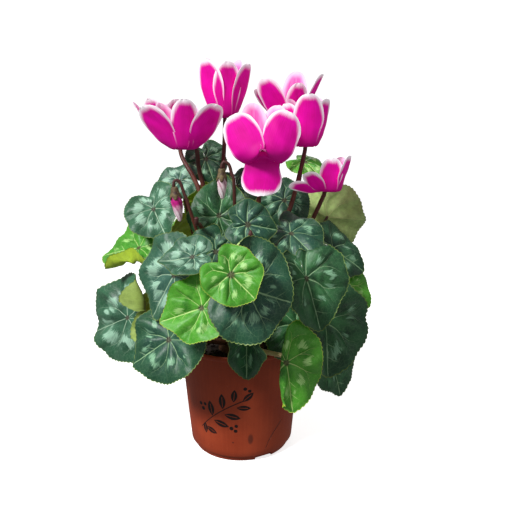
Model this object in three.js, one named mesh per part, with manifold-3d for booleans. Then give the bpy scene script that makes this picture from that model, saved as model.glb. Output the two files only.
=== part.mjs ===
// A florist's cyclamen in flower, in the thin plastic pot it is sold in.
// Millimetres, +Z up. The origin is the middle of the pot's underside; the plant's best side faces -Y.

import * as THREE from 'three';
import { mergeVertices } from 'three/addons/utils/BufferGeometryUtils.js';
import Module from 'manifold-3d';

const wasm = await Module();
wasm.setup();

// ---------------------------------------------------------------------------------------------
// Driving dimensions

const GAP = 0.3;                 // between neighbouring pieces

const POT_HEIGHT = 100;
const POT_RIM_RADIUS = 55.5;     // outside of the lip
const POT_LIP = { proud: 1.0, height: 4.2 };
const POT_WALL = 1.3;
const POT_FLOOR = 2.0;
const POT_SHOULDER_RADIUS = 46.6; // wall, just above the foot
const POT_FOOT = { radius: 43.5, height: 5.5 };
const POT_SIDES = 24;
const FOOT_NOTCH = { bearings: [28, 148, 268], width: 16, height: 4.4, depth: 4.5 };
const DRAIN_HOLE = { count: 4, ring: 27, radius: 4.5, sides: 8 };

const SOIL_TOP = 88;
const SOIL_CLEAR = 2.2;          // between the tuber and its hollow, which has few sides
const TUBER = { radius: 21, height: 25.6, top: 99 };
const TUBER_MIDDLE = TUBER.top - TUBER.height / 2;
const CROWN = { radius: 10, height: 94 }; // where stalks and stems spring from, inside the tuber's top

const BLADE_THICKNESS = 0.7;
const BLADE_SPACE = 4.2;         // kept between the middle surfaces of two blades
const LEAF_STALK = { root: 1.6, end: 1.15, sides: 4, steps: 5 };

const PETAL_THICKNESS = 0.7;
const TUBE = { mouth: 6.2, top: 4.2, length: 9, wall: 1.0, roof: 2.4, sides: 7 };
const FLOWER_STEM = { root: 1.9, end: 1.3, sides: 5, steps: 6, crookSteps: 6 };
const HOOK_RISE = 8.5;           // of a stem's crook over the top of its flower
const SHOOT = { root: 1.8, end: 1.6, sides: 5, steps: 6 };

const SAP_GREEN = 0x4f9a35;
const DARK_GREEN = 0x2f5a48;
const SILVER_GREEN = 0x5f8f80;
const TONES = { young: SAP_GREEN, dark: DARK_GREEN, silver: SILVER_GREEN };

const radians = THREE.MathUtils.degToRad;
const UP = new THREE.Vector3(0, 0, 1);

// A level direction by its bearing: 0 towards the front (-Y), 90 to the right (+X).
function level(bearing) {
  const turn = radians(bearing);
  return new THREE.Vector3(Math.sin(turn), -Math.cos(turn), 0);
}

// ---------------------------------------------------------------------------------------------
// Closed meshes, joining and cutting

// A geometry from corner points and triangles.
function geometryOf(points, faces) {
  const geometry = new THREE.BufferGeometry().setFromPoints(points);
  geometry.setIndex(faces.flat());
  return geometry;
}

function signedVolume(geometry) {
  const position = geometry.getAttribute('position');
  const index = geometry.getIndex().array;
  const corner = [new THREE.Vector3(), new THREE.Vector3(), new THREE.Vector3()];
  let sum = 0;
  for (let i = 0; i < index.length; i += 3) {
    corner.forEach((point, k) => point.fromBufferAttribute(position, index[i + k]));
    sum += corner[0].dot(corner[1].clone().cross(corner[2])) / 6;
  }
  return sum;
}

// Shared corners merged, empty triangles dropped and the faces turned to point out.
function closed(geometry) {
  const bare = geometry.clone();
  bare.deleteAttribute('normal');
  bare.deleteAttribute('uv');
  const merged = mergeVertices(bare, 1e-3);
  const index = merged.getIndex().array;
  const faces = [];
  for (let i = 0; i < index.length; i += 3) {
    const [a, b, c] = [index[i], index[i + 1], index[i + 2]];
    if (a !== b && b !== c && c !== a) faces.push([a, b, c]);
  }
  merged.setIndex(faces.flat());
  if (signedVolume(merged) < 0) merged.setIndex(faces.map(([a, b, c]) => [a, c, b]).flat());
  return merged;
}

function solid(geometry) {
  const shape = closed(geometry);
  return new wasm.Manifold(new wasm.Mesh({
    numProp: 3,
    vertProperties: new Float32Array(shape.getAttribute('position').array),
    triVerts: new Uint32Array(shape.getIndex().array),
  }));
}

function geometryFrom(manifold) {
  const mesh = manifold.getMesh();
  const geometry = new THREE.BufferGeometry();
  geometry.setAttribute('position', new THREE.BufferAttribute(new Float32Array(mesh.vertProperties), 3));
  geometry.setIndex(new THREE.BufferAttribute(new Uint32Array(mesh.triVerts), 1));
  return geometry;
}

function fused(geometries) {
  return geometryFrom(geometries.map(solid).reduce((whole, piece) => whole.add(piece)));
}

// A skin of even thickness round a middle surface. Both faces are split into triangles alike.
function thickened(points, faces, thickness) {
  const normals = points.map(() => new THREE.Vector3());
  const rimEdges = new Map();
  for (const face of faces) {
    const [a, b, c] = face.map((i) => points[i]);
    const normal = b.clone().sub(a).cross(c.clone().sub(a));
    face.forEach((i) => normals[i].add(normal));
    face.forEach((from, k) => {
      const to = face[(k + 1) % 3];
      if (!rimEdges.delete(`${to},${from}`)) rimEdges.set(`${from},${to}`, [from, to]);
    });
  }
  normals.forEach((normal) => normal.setLength(thickness / 2));
  const upper = points.map((point, i) => point.clone().add(normals[i]));
  const lower = points.map((point, i) => point.clone().sub(normals[i]));
  const count = points.length;
  const skin = faces.flatMap(([a, b, c]) => [[a, b, c], [a + count, c + count, b + count]]);
  for (const [from, to] of rimEdges.values()) {
    skin.push([to, from, from + count], [to, from + count, to + count]);
  }
  return geometryOf([...upper, ...lower], skin);
}

// Triangles between two rows of corners, each row running the same way from side to side.
function stitched(inner, outer) {
  const faces = [];
  let i = 0;
  let o = 0;
  while (i < inner.length - 1 || o < outer.length - 1) {
    const nextInner = (i + 1) / Math.max(inner.length - 1, 1);
    const nextOuter = (o + 1) / Math.max(outer.length - 1, 1);
    if (i >= inner.length - 1 || (o < outer.length - 1 && nextOuter <= nextInner)) {
      faces.push([inner[i], outer[o], outer[o + 1]]);
      o += 1;
    } else {
      faces.push([inner[i], outer[o], inner[i + 1]]);
      i += 1;
    }
  }
  return faces;
}

// A round stalk with closed ends through the given points, tapering from its root to its end.
function stalk(path, { root, end, sides }) {
  const last = path.length - 1;
  const along = path.map((_, i) => {
    const ahead = path[Math.min(i + 1, last)];
    return ahead.clone().sub(path[Math.max(i - 1, 0)]).normalize();
  });
  let side = new THREE.Vector3(0.31, 0.95, 0.07).cross(along[0]).normalize();
  const points = [];
  path.forEach((centre, i) => {
    side = side.clone().addScaledVector(along[i], -side.dot(along[i])).normalize();
    const across = along[i].clone().cross(side);
    const radius = root + (end - root) * (i / last);
    for (let k = 0; k < sides; k += 1) {
      const turn = (2 * Math.PI * k) / sides;
      const rim = side.clone().multiplyScalar(Math.cos(turn)).addScaledVector(across, Math.sin(turn));
      points.push(centre.clone().addScaledVector(rim, radius));
    }
  });
  const faces = [];
  for (let i = 0; i < last; i += 1) {
    for (let k = 0; k < sides; k += 1) {
      const a = i * sides + k;
      const b = i * sides + ((k + 1) % sides);
      faces.push([a, b, b + sides], [a, b + sides, a + sides]);
    }
  }
  const rootCentre = points.push(path[0].clone()) - 1;
  const endCentre = points.push(path[last].clone()) - 1;
  for (let k = 0; k < sides; k += 1) {
    const next = (k + 1) % sides;
    faces.push([rootCentre, next, k], [endCentre, last * sides + k, last * sides + next]);
  }
  return geometryOf(points, faces);
}

// A body turned about +Z from [radius, height] corners.
function turned(profile, sides) {
  const corners = profile.map(([radius, height]) => new THREE.Vector2(radius, height));
  return new THREE.LatheGeometry(corners, sides).rotateX(Math.PI / 2);
}

// ---------------------------------------------------------------------------------------------
// Pot and soil

// Inner radius of the pot's wall at a height.
function potInside(height) {
  const climb = (height - POT_FOOT.height) / (POT_HEIGHT - POT_LIP.height - POT_FOOT.height);
  const under = POT_RIM_RADIUS - POT_LIP.proud;
  return POT_SHOULDER_RADIUS + (under - POT_SHOULDER_RADIUS) * Math.max(climb, 0) - POT_WALL;
}

function potGeometry() {
  const under = POT_RIM_RADIUS - POT_LIP.proud;
  const lipBase = POT_HEIGHT - POT_LIP.height;
  const body = turned([
    [0, 0],
    [POT_FOOT.radius - 0.8, 0],
    [POT_FOOT.radius, 0.8],
    [POT_FOOT.radius + 0.5, POT_FOOT.height - 1],
    [POT_SHOULDER_RADIUS, POT_FOOT.height],
    [under, lipBase],
    [POT_RIM_RADIUS, lipBase + 1],
    [POT_RIM_RADIUS, POT_HEIGHT - 1],
    [POT_RIM_RADIUS - 0.9, POT_HEIGHT],
    [POT_RIM_RADIUS - 1.8, POT_HEIGHT],
    [potInside(lipBase), lipBase],
    [potInside(POT_FOOT.height), POT_FOOT.height],
    [POT_FOOT.radius - POT_WALL, POT_FLOOR],
    [0, POT_FLOOR],
  ], POT_SIDES);
  let pot = solid(body);
  for (const bearing of FOOT_NOTCH.bearings) {
    const notch = new THREE.BoxGeometry(FOOT_NOTCH.width, 2 * FOOT_NOTCH.depth, 2 * FOOT_NOTCH.height);
    const out = level(bearing).multiplyScalar(POT_FOOT.radius + 1.2);
    notch.rotateZ(radians(bearing)).translate(out.x, out.y, 0);
    pot = pot.subtract(solid(notch));
  }
  for (let i = 0; i < DRAIN_HOLE.count; i += 1) {
    const { radius, sides } = DRAIN_HOLE;
    const hole = new THREE.CylinderGeometry(radius, radius, 4 * POT_FLOOR, sides);
    const out = level((360 * (i + 0.5)) / DRAIN_HOLE.count).multiplyScalar(DRAIN_HOLE.ring);
    hole.rotateX(Math.PI / 2).translate(out.x, out.y, 0);
    pot = pot.subtract(solid(hole));
  }
  return geometryFrom(pot);
}

// Potting soil, filling the pot, with the hollow that the tuber sits in.
function soilGeometry() {
  const hollow = [];
  const steps = 3;
  for (let i = 0; i <= steps; i += 1) {
    const turn = (Math.PI / 2) * (i / steps);
    const radius = (TUBER.radius + SOIL_CLEAR) * Math.cos(turn);
    const depth = (TUBER.height / 2 + SOIL_CLEAR) * Math.sin(turn);
    hollow.push([i === steps ? 0 : radius, TUBER_MIDDLE - depth]);
  }
  return turned([
    [0, POT_FLOOR + GAP],
    [POT_FOOT.radius - POT_WALL - 1.2, POT_FLOOR + GAP],
    [potInside(POT_FOOT.height) - GAP - 0.6, POT_FOOT.height + 1],
    [potInside(SOIL_TOP) - GAP - 0.2, SOIL_TOP - 2],
    [potInside(SOIL_TOP) - 3.5, SOIL_TOP + 0.4],
    [33, SOIL_TOP - 0.4],
    ...hollow,
  ], POT_SIDES);
}

// The corky, flattened tuber, lumpy on top.
function tuberGeometry() {
  const tuber = new THREE.SphereGeometry(TUBER.radius, 12, 6);
  tuber.scale(1, TUBER.height / 2 / TUBER.radius, 1).rotateX(Math.PI / 2);
  const position = tuber.getAttribute('position');
  for (let i = 0; i < position.count; i += 1) {
    const x = position.getX(i);
    const y = position.getY(i);
    const z = position.getZ(i);
    const lump = z > 1 ? 0.9 * Math.sin(x / 3.1) * Math.cos(y / 3.7) : 0;
    position.setXYZ(i, x, y, z + lump);
  }
  return tuber.translate(0, 0, TUBER_MIDDLE);
}

// ---------------------------------------------------------------------------------------------
// Leaf blades
//
// A blade is laid out round the end of its stalk: "turn" runs from -1 to 1, from one side of the
// notch over the tip (0) to the other side, and "reach" from 0 at the stalk to 1 at the margin.

const NOTCH = { keyhole: 0.3, keyholeReach: 0.14, slit: 0.012 };
const OUTLINE = { round: 0.76, pointWidth: 0.36, corners: 0.018, dip: 0.4, dipWidth: 0.34 };
const TEETH = 0.018;
const BLADE_RINGS = [[0.16, 6], [0.62, 12], [1, 22]];
const ROLLED_RINGS = [[0.16, 6], [0.5, 12], [0.8, 12], [1, 22]];
const BACK_RINGS = [[0.16, 6], [0.62, 10], [1, 18]];

// How far the margin is from the stalk at an angle from the tip, as a share of the blade's size.
function outline(leaf, angle) {
  const round = leaf.round ?? OUTLINE.round;
  const off = Math.abs(angle);
  const point = (1 - round) * Math.exp(-((off / OUTLINE.pointWidth) ** 1.1));
  const lobe = 1 - OUTLINE.dip * Math.exp(-(((Math.PI - off) / OUTLINE.dipWidth) ** 1.5));
  return (round + point + OUTLINE.corners * Math.cos(7 * angle)) * lobe;
}

// Half the angle left open by the notch at a reach.
function notch(reach) {
  return NOTCH.keyhole * Math.exp(-reach / NOTCH.keyholeReach) + NOTCH.slit / Math.max(reach, 0.1);
}

// Tilt of the blade's surface on the way out to the margin, in radians.
function slope(leaf, angle, reach) {
  const [amount, waves, phase] = leaf.wave ?? [0.2, 5, 0];
  const ripple = amount * Math.sin(waves * angle + phase) * reach ** 2;
  return (leaf.cup ?? -0.25) * reach + (leaf.fold ?? 0.12) * Math.abs(Math.sin(angle)) + ripple;
}

// Rolls the part of a blade past a line: the line stands "from" out in the direction "toward".
function rolled(point, leaf) {
  for (const [toward, from, radius, most] of leaf.rolls ?? []) {
    const out = new THREE.Vector3(Math.cos(radians(toward)), Math.sin(radians(toward)), 0);
    const past = point.dot(out) - from * leaf.size;
    if (past > 0) {
      const turn = Math.min(past / radius, radians(Math.abs(most)));
      const beyond = past - turn * radius;
      const way = Math.sign(most);
      const lift = point.z * way;
      const along = (radius - lift) * Math.sin(turn) + beyond * Math.cos(turn);
      const up = radius - (radius - lift) * Math.cos(turn) + beyond * Math.sin(turn);
      point.addScaledVector(out, along - past);
      point.z = up * way;
    }
  }
  return point;
}

// A point of the blade's middle surface, with the stalk at the origin and the tip along +X.
function bladePoint(leaf, turn, reach, tooth = 0) {
  const angle = turn * (Math.PI - notch(reach));
  const length = leaf.size * outline(leaf, angle) * (1 + tooth);
  let out = 0;
  let up = 0;
  const steps = 6;
  for (let i = 0; i < steps; i += 1) {
    const tilt = slope(leaf, angle, (reach * (i + 0.5)) / steps);
    out += (Math.cos(tilt) * reach * length) / steps;
    up += (Math.sin(tilt) * reach * length) / steps;
  }
  const side = out * Math.sin(angle) * (leaf.broad ?? 1);
  return rolled(new THREE.Vector3(out * Math.cos(angle), side, up), leaf);
}

// The blade's middle surface: rings of corners round the stalk, the last one toothed. A ring is a
// reach and a count of gaps between corners.
function bladeSurface(leaf) {
  const rings = leaf.rings ?? (leaf.rolls ? ROLLED_RINGS : BLADE_RINGS);
  const points = [new THREE.Vector3()];
  const faces = [];
  let inner = [0];
  for (const [reach, count] of rings) {
    const ring = [];
    for (let i = 0; i <= count; i += 1) {
      const tooth = reach === 1 ? TEETH * (i % 2 ? -1 : 1) : 0;
      ring.push(points.push(bladePoint(leaf, (2 * i) / count - 1, reach, tooth)) - 1);
    }
    faces.push(...stitched(inner, ring));
    inner = ring;
  }
  return { points, faces };
}

function bladeGeometry(leaf, thickness) {
  const { points, faces } = bladeSurface(leaf);
  return thickened(points, faces, thickness);
}

// The blade's own axes: towards its tip, towards its left side, and out of its upper face.
function bladeAxes(leaf) {
  const height = radians(leaf.face[1]);
  const outward = level(leaf.face[0]);
  const normal = outward.clone().multiplyScalar(Math.cos(height)).setZ(Math.sin(height));
  const down = outward.clone().multiplyScalar(Math.sin(height)).setZ(-Math.cos(height));
  const right = normal.clone().cross(down);
  const spin = radians(leaf.tip);
  const tip = down.multiplyScalar(Math.cos(spin)).addScaledVector(right, Math.sin(spin));
  return { tip, left: normal.clone().cross(tip), normal };
}

function bladePlace(leaf) {
  const { tip, left, normal } = bladeAxes(leaf);
  return new THREE.Matrix4().makeBasis(tip, left, normal).setPosition(leaf.at);
}

// The leaves. "at" is where the stalk meets the blade and "size" the way from there to the tip.
// "face" is the bearing and height that the upper face looks towards, and "tip" turns the tip from
// straight down the slope towards the looker's right. Later leaves lie over earlier ones.
const LEAVES = [
  // behind the flowers
  { name: 'leaf_right_underside', tone: 'dark', at: [80, 34, 203], size: 35,
    face: [165, 16], tip: -88, round: 0.95, cup: 0.1 },
  { name: 'leaf_top_left', tone: 'dark', at: [-31, 25, 256], size: 25, face: [0, 20], tip: 20 },
  { name: 'leaf_top_middle', tone: 'dark', at: [-4, 22, 232], size: 28, face: [-5, 30], tip: 10 },
  { name: 'leaf_top_right', tone: 'dark', at: [58, 46, 248], size: 25, face: [15, 62], tip: 30, cup: -0.5 },
  { name: 'leaf_middle_right', tone: 'dark', at: [38, 0, 222], size: 30, face: [5, 30], tip: 25 },
  // left side
  { name: 'leaf_upper_left', tone: 'silver', at: [-50, 14, 230], size: 27, face: [-20, 42], tip: -68 },
  { name: 'leaf_upright', tone: 'dark', at: [-16, -26, 212], size: 34, face: [-8, 8], tip: 172, cup: -0.1 },
  { name: 'leaf_left_folded', tone: 'silver', at: [-70, -22, 217], size: 33,
    face: [-22, 34], tip: 37, fold: 0.4 },
  { name: 'leaf_left_rolled', tone: 'young', at: [-84, -20, 184], size: 47, face: [-34, 46], tip: -78,
    round: 0.66, rolls: [[92, 0.31, 3.5, 135]] },
  { name: 'leaf_far_left', tone: 'silver', at: [-95, -27, 125], size: 56, face: [-36, 12], tip: -66,
    round: 0.88, broad: 0.76, rolls: [[180, 0.36, 3.5, 160]] },
  // right side
  { name: 'leaf_right_inner', tone: 'dark', at: [42, -42, 200], size: 34,
    face: [8, 54], tip: 34, wave: [0.3, 5, 1] },
  { name: 'leaf_right_broad', tone: 'dark', at: [78, -24, 184], size: 36,
    face: [40, 38], tip: 50, wave: [0.3, 4, 0] },
  { name: 'leaf_right_small', tone: 'young', at: [92, -20, 150], size: 28, face: [24, 25], tip: 45 },
  { name: 'leaf_low_right', tone: 'dark', at: [78, -30, 90], size: 36, face: [36, 22], tip: 8 },
  { name: 'leaf_shaded_right', tone: 'dark', at: [46, -48, 126], size: 38, face: [14, 14], tip: 8 },
  { name: 'leaf_right_long', tone: 'dark', at: [69, -56, 131], size: 48,
    face: [36, 12], tip: 4, round: 0.78, cup: -0.3, fold: 0.6 },
  // front
  { name: 'leaf_middle_curled', tone: 'dark', at: [-17, -54, 188], size: 29, face: [-5, 12], tip: -20,
    rolls: [[165, 0.4, 3.5, 125]] },
  { name: 'leaf_middle', tone: 'dark', at: [8, -60, 210], size: 23, face: [8, 22], tip: 80, round: 0.85 },
  { name: 'leaf_low_left', tone: 'dark', at: [-48, -60, 116], size: 40, face: [-24, 26], tip: -53,
    round: 0.82 },
  { name: 'leaf_front_tongue', tone: 'dark', at: [7, -70, 122], size: 34,
    face: [0, 6], tip: 0, round: 0.6, broad: 0.8, fold: 1.2, cup: -0.2 },
  { name: 'leaf_left_silver', tone: 'silver', at: [-38, -58, 170], size: 43, face: [-32, 12], tip: -32,
    round: 0.78, rolls: [[80, 0.32, 3, -150]] },
  { name: 'leaf_left_round', tone: 'silver', at: [-29, -78, 182], size: 27,
    face: [-16, 48], tip: -76, round: 0.68, cup: 0.1 },
  { name: 'leaf_front_left', tone: 'young', at: [-24, -98, 156], size: 33,
    face: [-12, 22], tip: -68, cup: 0.1 },
  { name: 'leaf_front_kidney', tone: 'young', at: [36, -97, 115], size: 41, face: [16, 6], tip: 8,
    round: 0.63, rolls: [[-103, 0.1, 3, -150]] },
  { name: 'leaf_front_right', tone: 'dark', at: [51, -84, 174], size: 42, face: [30, 16], tip: 15,
    fold: 0.5, rolls: [[172, 0.6, 3.4, 150]] },
  { name: 'leaf_front_large', tone: 'dark', at: [8, -102, 169], size: 31, face: [8, 20], tip: 72,
    round: 0.95, broad: 1.25, rolls: [[150, 0.7, 3.4, 130]] },
  { name: 'leaf_front_young', tone: 'young', at: [-1, -129, 188], size: 23,
    face: [0, 22], tip: 45, round: 0.88, cup: 0.08 },
];

// The back of the plant: rows of leaves round it, from the lowest row up.
const BACK_ROWS = [
  { name: 'low', count: 4, bearings: [112, 248], radius: 86, height: 120, size: 46, lift: 20 },
  { name: 'mid', count: 3, bearings: [146, 240], radius: 68, height: 176, size: 44, lift: 42 },
  { name: 'high', count: 2, bearings: [152, 212], radius: 60, height: 210, size: 36, lift: 38 },
];
const BACK_TONES = ['dark', 'silver', 'dark', 'young'];

for (const [row, { name, count, bearings, radius, height, size, lift }] of BACK_ROWS.entries()) {
  for (let i = 0; i < count; i += 1) {
    const bearing = bearings[0] + ((bearings[1] - bearings[0]) * i) / (count - 1);
    const { x, y } = level(bearing).multiplyScalar(radius);
    LEAVES.push({
      name: `leaf_back_${name}_${i + 1}`,
      tone: BACK_TONES[(row + i) % BACK_TONES.length],
      at: [x, y, height + 8 * (i % 2)],
      size: size - 5 * (i % 2),
      face: [bearing, lift + 6 * (i % 2)],
      tip: i % 2 ? 35 : -30,
      wave: [0.25, 5, i + row],
      rings: BACK_RINGS,
    });
  }
}

// Slides each blade out along its face until it lies clear over every earlier one.
function layOver(leaves) {
  const step = 1;
  const furthest = 30;
  const laid = [];
  for (const leaf of leaves) {
    const body = solid(bladeGeometry(leaf, BLADE_SPACE));
    const { normal } = bladeAxes(leaf);
    const start = new THREE.Vector3(...leaf.at);
    let slide = 0;
    let thick;
    do {
      leaf.at = start.clone().addScaledVector(normal, slide);
      thick = body.transform(bladePlace(leaf).elements);
      slide += step;
    } while (slide < furthest && laid.some((other) => !thick.intersect(other).isEmpty()));
    laid.push(thick);
  }
}

// ---------------------------------------------------------------------------------------------
// Stalks and stems: smooth curves from the crown of the tuber, bent clear of the blades

const CELL = 1.25;
const STALK_ROOM = 2.5;          // kept between a stalk's middle and a blade's
const BLOCKED_COST = 1e4;        // millimetres of way that a wholly blocked path counts as

// One number for the small cell that a place lies in; each place is well inside 1000 cells a side.
function cellKey(...place) {
  return place.reduce((key, value) => key * 1000 + Math.round(value / CELL) + 500, 0);
}

// The offsets of all small cells within a stalk's room of a point.
function cellsAround() {
  const reach = Math.floor(STALK_ROOM / CELL);
  const offsets = [];
  for (let i = -reach; i <= reach; i += 1) {
    for (let j = -reach; j <= reach; j += 1) {
      for (let k = -reach; k <= reach; k += 1) {
        const offset = new THREE.Vector3(i, j, k).multiplyScalar(CELL);
        if (offset.length() <= STALK_ROOM) offsets.push(offset);
      }
    }
  }
  return offsets;
}

// Marks the small cells near one facet of a blade as filled by its leaf.
function fillFacet(taken, [a, b, c], name, offsets) {
  const along = b.clone().sub(a);
  const across = c.clone().sub(a);
  const rows = Math.ceil(Math.max(along.length(), across.length(), b.distanceTo(c)) / CELL);
  for (let i = 0; i <= rows; i += 1) {
    for (let j = 0; j <= rows - i; j += 1) {
      const { x, y, z } = a.clone().addScaledVector(along, i / rows).addScaledVector(across, j / rows);
      for (const offset of offsets) {
        const key = cellKey(x + offset.x, y + offset.y, z + offset.z);
        const owner = taken.get(key);
        taken.set(key, owner === undefined || owner === name ? name : 'several');
      }
    }
  }
}

// The space that the blades take up, as a map from small cells to the leaf that fills them.
function takenSpace(leaves) {
  const taken = new Map();
  const offsets = cellsAround();
  for (const leaf of leaves) {
    const place = bladePlace(leaf);
    const { points, faces } = bladeSurface(leaf);
    const placed = points.map((point) => point.clone().applyMatrix4(place));
    for (const face of faces) fillFacet(taken, face.map((i) => placed[i]), leaf.name, offsets);
  }
  return taken;
}

// Whether a point of a stalk would touch the pot's wall or go into the soil.
function meetsPot({ x, y, z }) {
  const radius = Math.hypot(x, y);
  const overCrown = radius < TUBER.radius - 3;
  const inWall = radius > potInside(z) - 3.5 && radius < POT_RIM_RADIUS + 3.5;
  return z < POT_HEIGHT + 3.5 && (inWall || (!overCrown && radius < POT_RIM_RADIUS && z < SOIL_TOP + 3));
}

// The share of a stalk's way that would touch a blade or the pot. It may come "free" close to its own.
function blockedShare(path, taken, owner, free) {
  const end = path[path.length - 1];
  const checks = 12;
  let blocked = 0;
  for (let i = 1; i < path.length; i += 1) {
    for (let k = 1; k <= checks; k += 1) {
      const point = path[i - 1].clone().lerp(path[i], k / checks);
      const holder = taken.get(cellKey(point.x, point.y, point.z));
      const nearEnd = holder === owner && point.distanceTo(end) < free;
      if (meetsPot(point) || (holder !== undefined && !nearEnd)) blocked += 1;
    }
  }
  return blocked / (checks * (path.length - 1));
}

// How a stalk may leave the crown and bend: its lean, and how far it holds to each end's direction.
const BENDS = [
  [35, 0.35, 0.3], [12, 0.5, 0.3], [60, 0.3, 0.3], [15, 0.8, 0.45], [70, 0.7, 0.4], [8, 1, 0.2],
  [75, 0.4, 0.15], [25, 0.6, 0.1], [20, 0.7, 0.2], [5, 0.9, 0.35], [50, 0.6, 0.2], [30, 1, 0.3],
  [12, 1.1, 0.1], [40, 0.8, 0.6], [20, 0.4, 0.6], [80, 0.9, 0.2], [60, 1, 0.5],
];

// Of the paths from the crown to an end, the shortest one that is clear.
function route(end, arrivals, bearing, taken, { owner = '', free = 0, steps }) {
  let best;
  let least = Infinity;
  for (const arrival of arrivals) {
    for (const aside of [0, 25, -25, 50, -50, 80, -80, 120, -120]) {
      for (const [lean, pull, hold] of BENDS) {
        const out = level(bearing + aside);
        const root = out.clone().multiplyScalar(CROWN.radius).setZ(CROWN.height);
        const length = root.distanceTo(end);
        const launch = out.multiplyScalar(Math.sin(radians(lean))).setZ(Math.cos(radians(lean)));
        const path = new THREE.CubicBezierCurve3(root, root.clone().addScaledVector(launch, pull * length),
          end.clone().addScaledVector(arrival, -hold * length), end).getPoints(steps);
        const way = path.slice(1).reduce((sum, point, i) => sum + point.distanceTo(path[i]), 0);
        if (way < least) {
          const cost = way + BLOCKED_COST * blockedShare(path, taken, owner, free);
          if (cost < least) {
            least = cost;
            best = path;
          }
        }
      }
    }
  }
  return best;
}

// How a stalk may come up to its blade: off the line of the face, and turned from behind the tip.
const ARRIVALS = [
  [35, 0], [15, 0], [40, 50], [40, -50], [60, 0], [55, 90], [55, -90], [72, 0], [72, 60], [72, -60],
  [72, 110], [72, -110], [50, 180], [80, 30], [80, -30], [84, 0], [80, 90], [80, -90], [30, 180],
  [25, 90], [25, -90], [0, 0], [60, 30], [60, -30], [75, 180],
];

// The leaf's stalk comes up to the blade from under it, on the side away from the tip.
function leafStalkPath(leaf, taken) {
  const { tip, left, normal } = bladeAxes(leaf);
  const under = BLADE_THICKNESS / 2 + GAP + LEAF_STALK.end;
  const end = leaf.at.clone().addScaledVector(normal, -under).addScaledVector(tip, -0.5);
  const arrivals = [];
  for (const [lean, side] of ARRIVALS) {
    const flat = tip.clone().multiplyScalar(Math.cos(radians(side)));
    flat.addScaledVector(left, Math.sin(radians(side))).multiplyScalar(Math.sin(radians(lean)));
    arrivals.push(flat.addScaledVector(normal, Math.cos(radians(lean))));
  }
  const bearing = THREE.MathUtils.radToDeg(Math.atan2(leaf.at.x, -leaf.at.y));
  return route(end, arrivals, bearing, taken, { owner: leaf.name, free: 5, steps: LEAF_STALK.steps });
}

// ---------------------------------------------------------------------------------------------
// Flowers
//
// A flower hangs with its mouth down. "at" is the middle of its mouth, and "back" the bearing and
// tilt from upright of the line from there to the tube's top. Petals are [around, spread, length,
// width, twist]: where they leave the mouth, how far they stand off that line, and their size.

const PETAL = {
  root: 5.4,          // from the tube's middle line
  rise: 2.6,          // over the mouth
  dive: 168,          // heading at the root, in degrees from straight back
  turnLength: 3.6,    // along the petal, over which it turns back
  bend: 9,            // degrees more at the tip
  claw: 0.46,         // width at the root, as a share of the widest
  widest: 0.6,        // where it is widest, as a share of its length
  bowl: 0.2,          // depth across, as a share of half its width
};

const FLOWERS = [
  { name: 'flower_left', at: [-43, -28, 265], back: [0, 0], stem: [120, 11.5, -3], petals: [
    [-58, 31, 46, 24, 30], [14, 8, 44, 21, 0], [70, 28, 46, 24, -30],
    [172, 11, 44, 20, 0], [-126, 19, 46, 21, 0]] },
  { name: 'flower_left_behind', at: [-63, 6, 275], back: [-90, 4], stem: [106, 11.5, -3], petals: [
    [-90, 22, 40, 19, 0], [-20, 14, 38, 19, 0], [52, 12, 36, 18, 0],
    [162, 14, 36, 18, 0], [-152, 18, 40, 19, 0]] },
  { name: 'flower_top', at: [-12, 8, 291], back: [0, 0], stem: [186, 11.5, -3], petals: [
    [-56, 8, 52, 25, 20], [14, 2, 49, 23, 0], [76, 8, 50, 22, -24],
    [134, 3, 54, 20, 0], [-122, 5, 55, 20, 0]] },
  { name: 'flower_front', at: [20, -56, 257], back: [180, 24], stem: [180, 12, 4], petals: [
    [-68, 21, 42, 28, 50], [64, 15, 43, 28, -50], [-120, -4, 50, 17, -44],
    [120, -4, 48, 17, 44], [186, 155, 29, 31, 0]] },
  { name: 'flower_right', at: [54.5, -20, 267], back: [0, 0], stem: [180, 11.5, -3], petals: [
    [4, 3, 46, 24, 0], [72, 7, 43, 21, -20], [128, 2, 44, 19, 0],
    [-128, 6, 44, 19, 0], [-70, 10, 40, 19, 30]] },
  { name: 'flower_right_behind', at: [44, 15, 287], back: [0, 0], stem: [216, 11.5, -3], petals: [
    [-56, 26, 46, 21, 36], [-104, 36, 42, 18, 40], [164, 8, 51, 22, 0],
    [100, 20, 50, 22, -20], [16, 14, 38, 18, 0]] },
  { name: 'flower_half_open', at: [75, -16, 231], back: [60, 3], stem: [195, 11.5, -3], petals: [
    [62, 7, 36, 18, 0], [-6, 2, 33, 18, 0], [134, 2, 33, 16, 0],
    [-52, 44, 30, 15, 30], [-80, 74, 32, 15, 40]] },
];

// The flower's own axes: the front of its mouth, its right, and the line up its tube.
function flowerPlace({ at, back: [bearing, tilt] }) {
  const line = level(bearing).multiplyScalar(Math.sin(radians(tilt))).setZ(Math.cos(radians(tilt)));
  const front = level(0).addScaledVector(line, -level(0).dot(line)).normalize();
  return new THREE.Matrix4().makeBasis(front, line.clone().cross(front), line).setPosition(...at);
}

// Width of a petal along its length, as a share of its widest.
function petalWidth(share) {
  const opening = THREE.MathUtils.smoothstep(share, 0.05, PETAL.widest);
  const closing = Math.max(share - PETAL.widest, 0) / (1 - PETAL.widest);
  return (PETAL.claw + (1 - PETAL.claw) * opening) * Math.sqrt(1 - closing ** 2.4);
}

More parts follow.
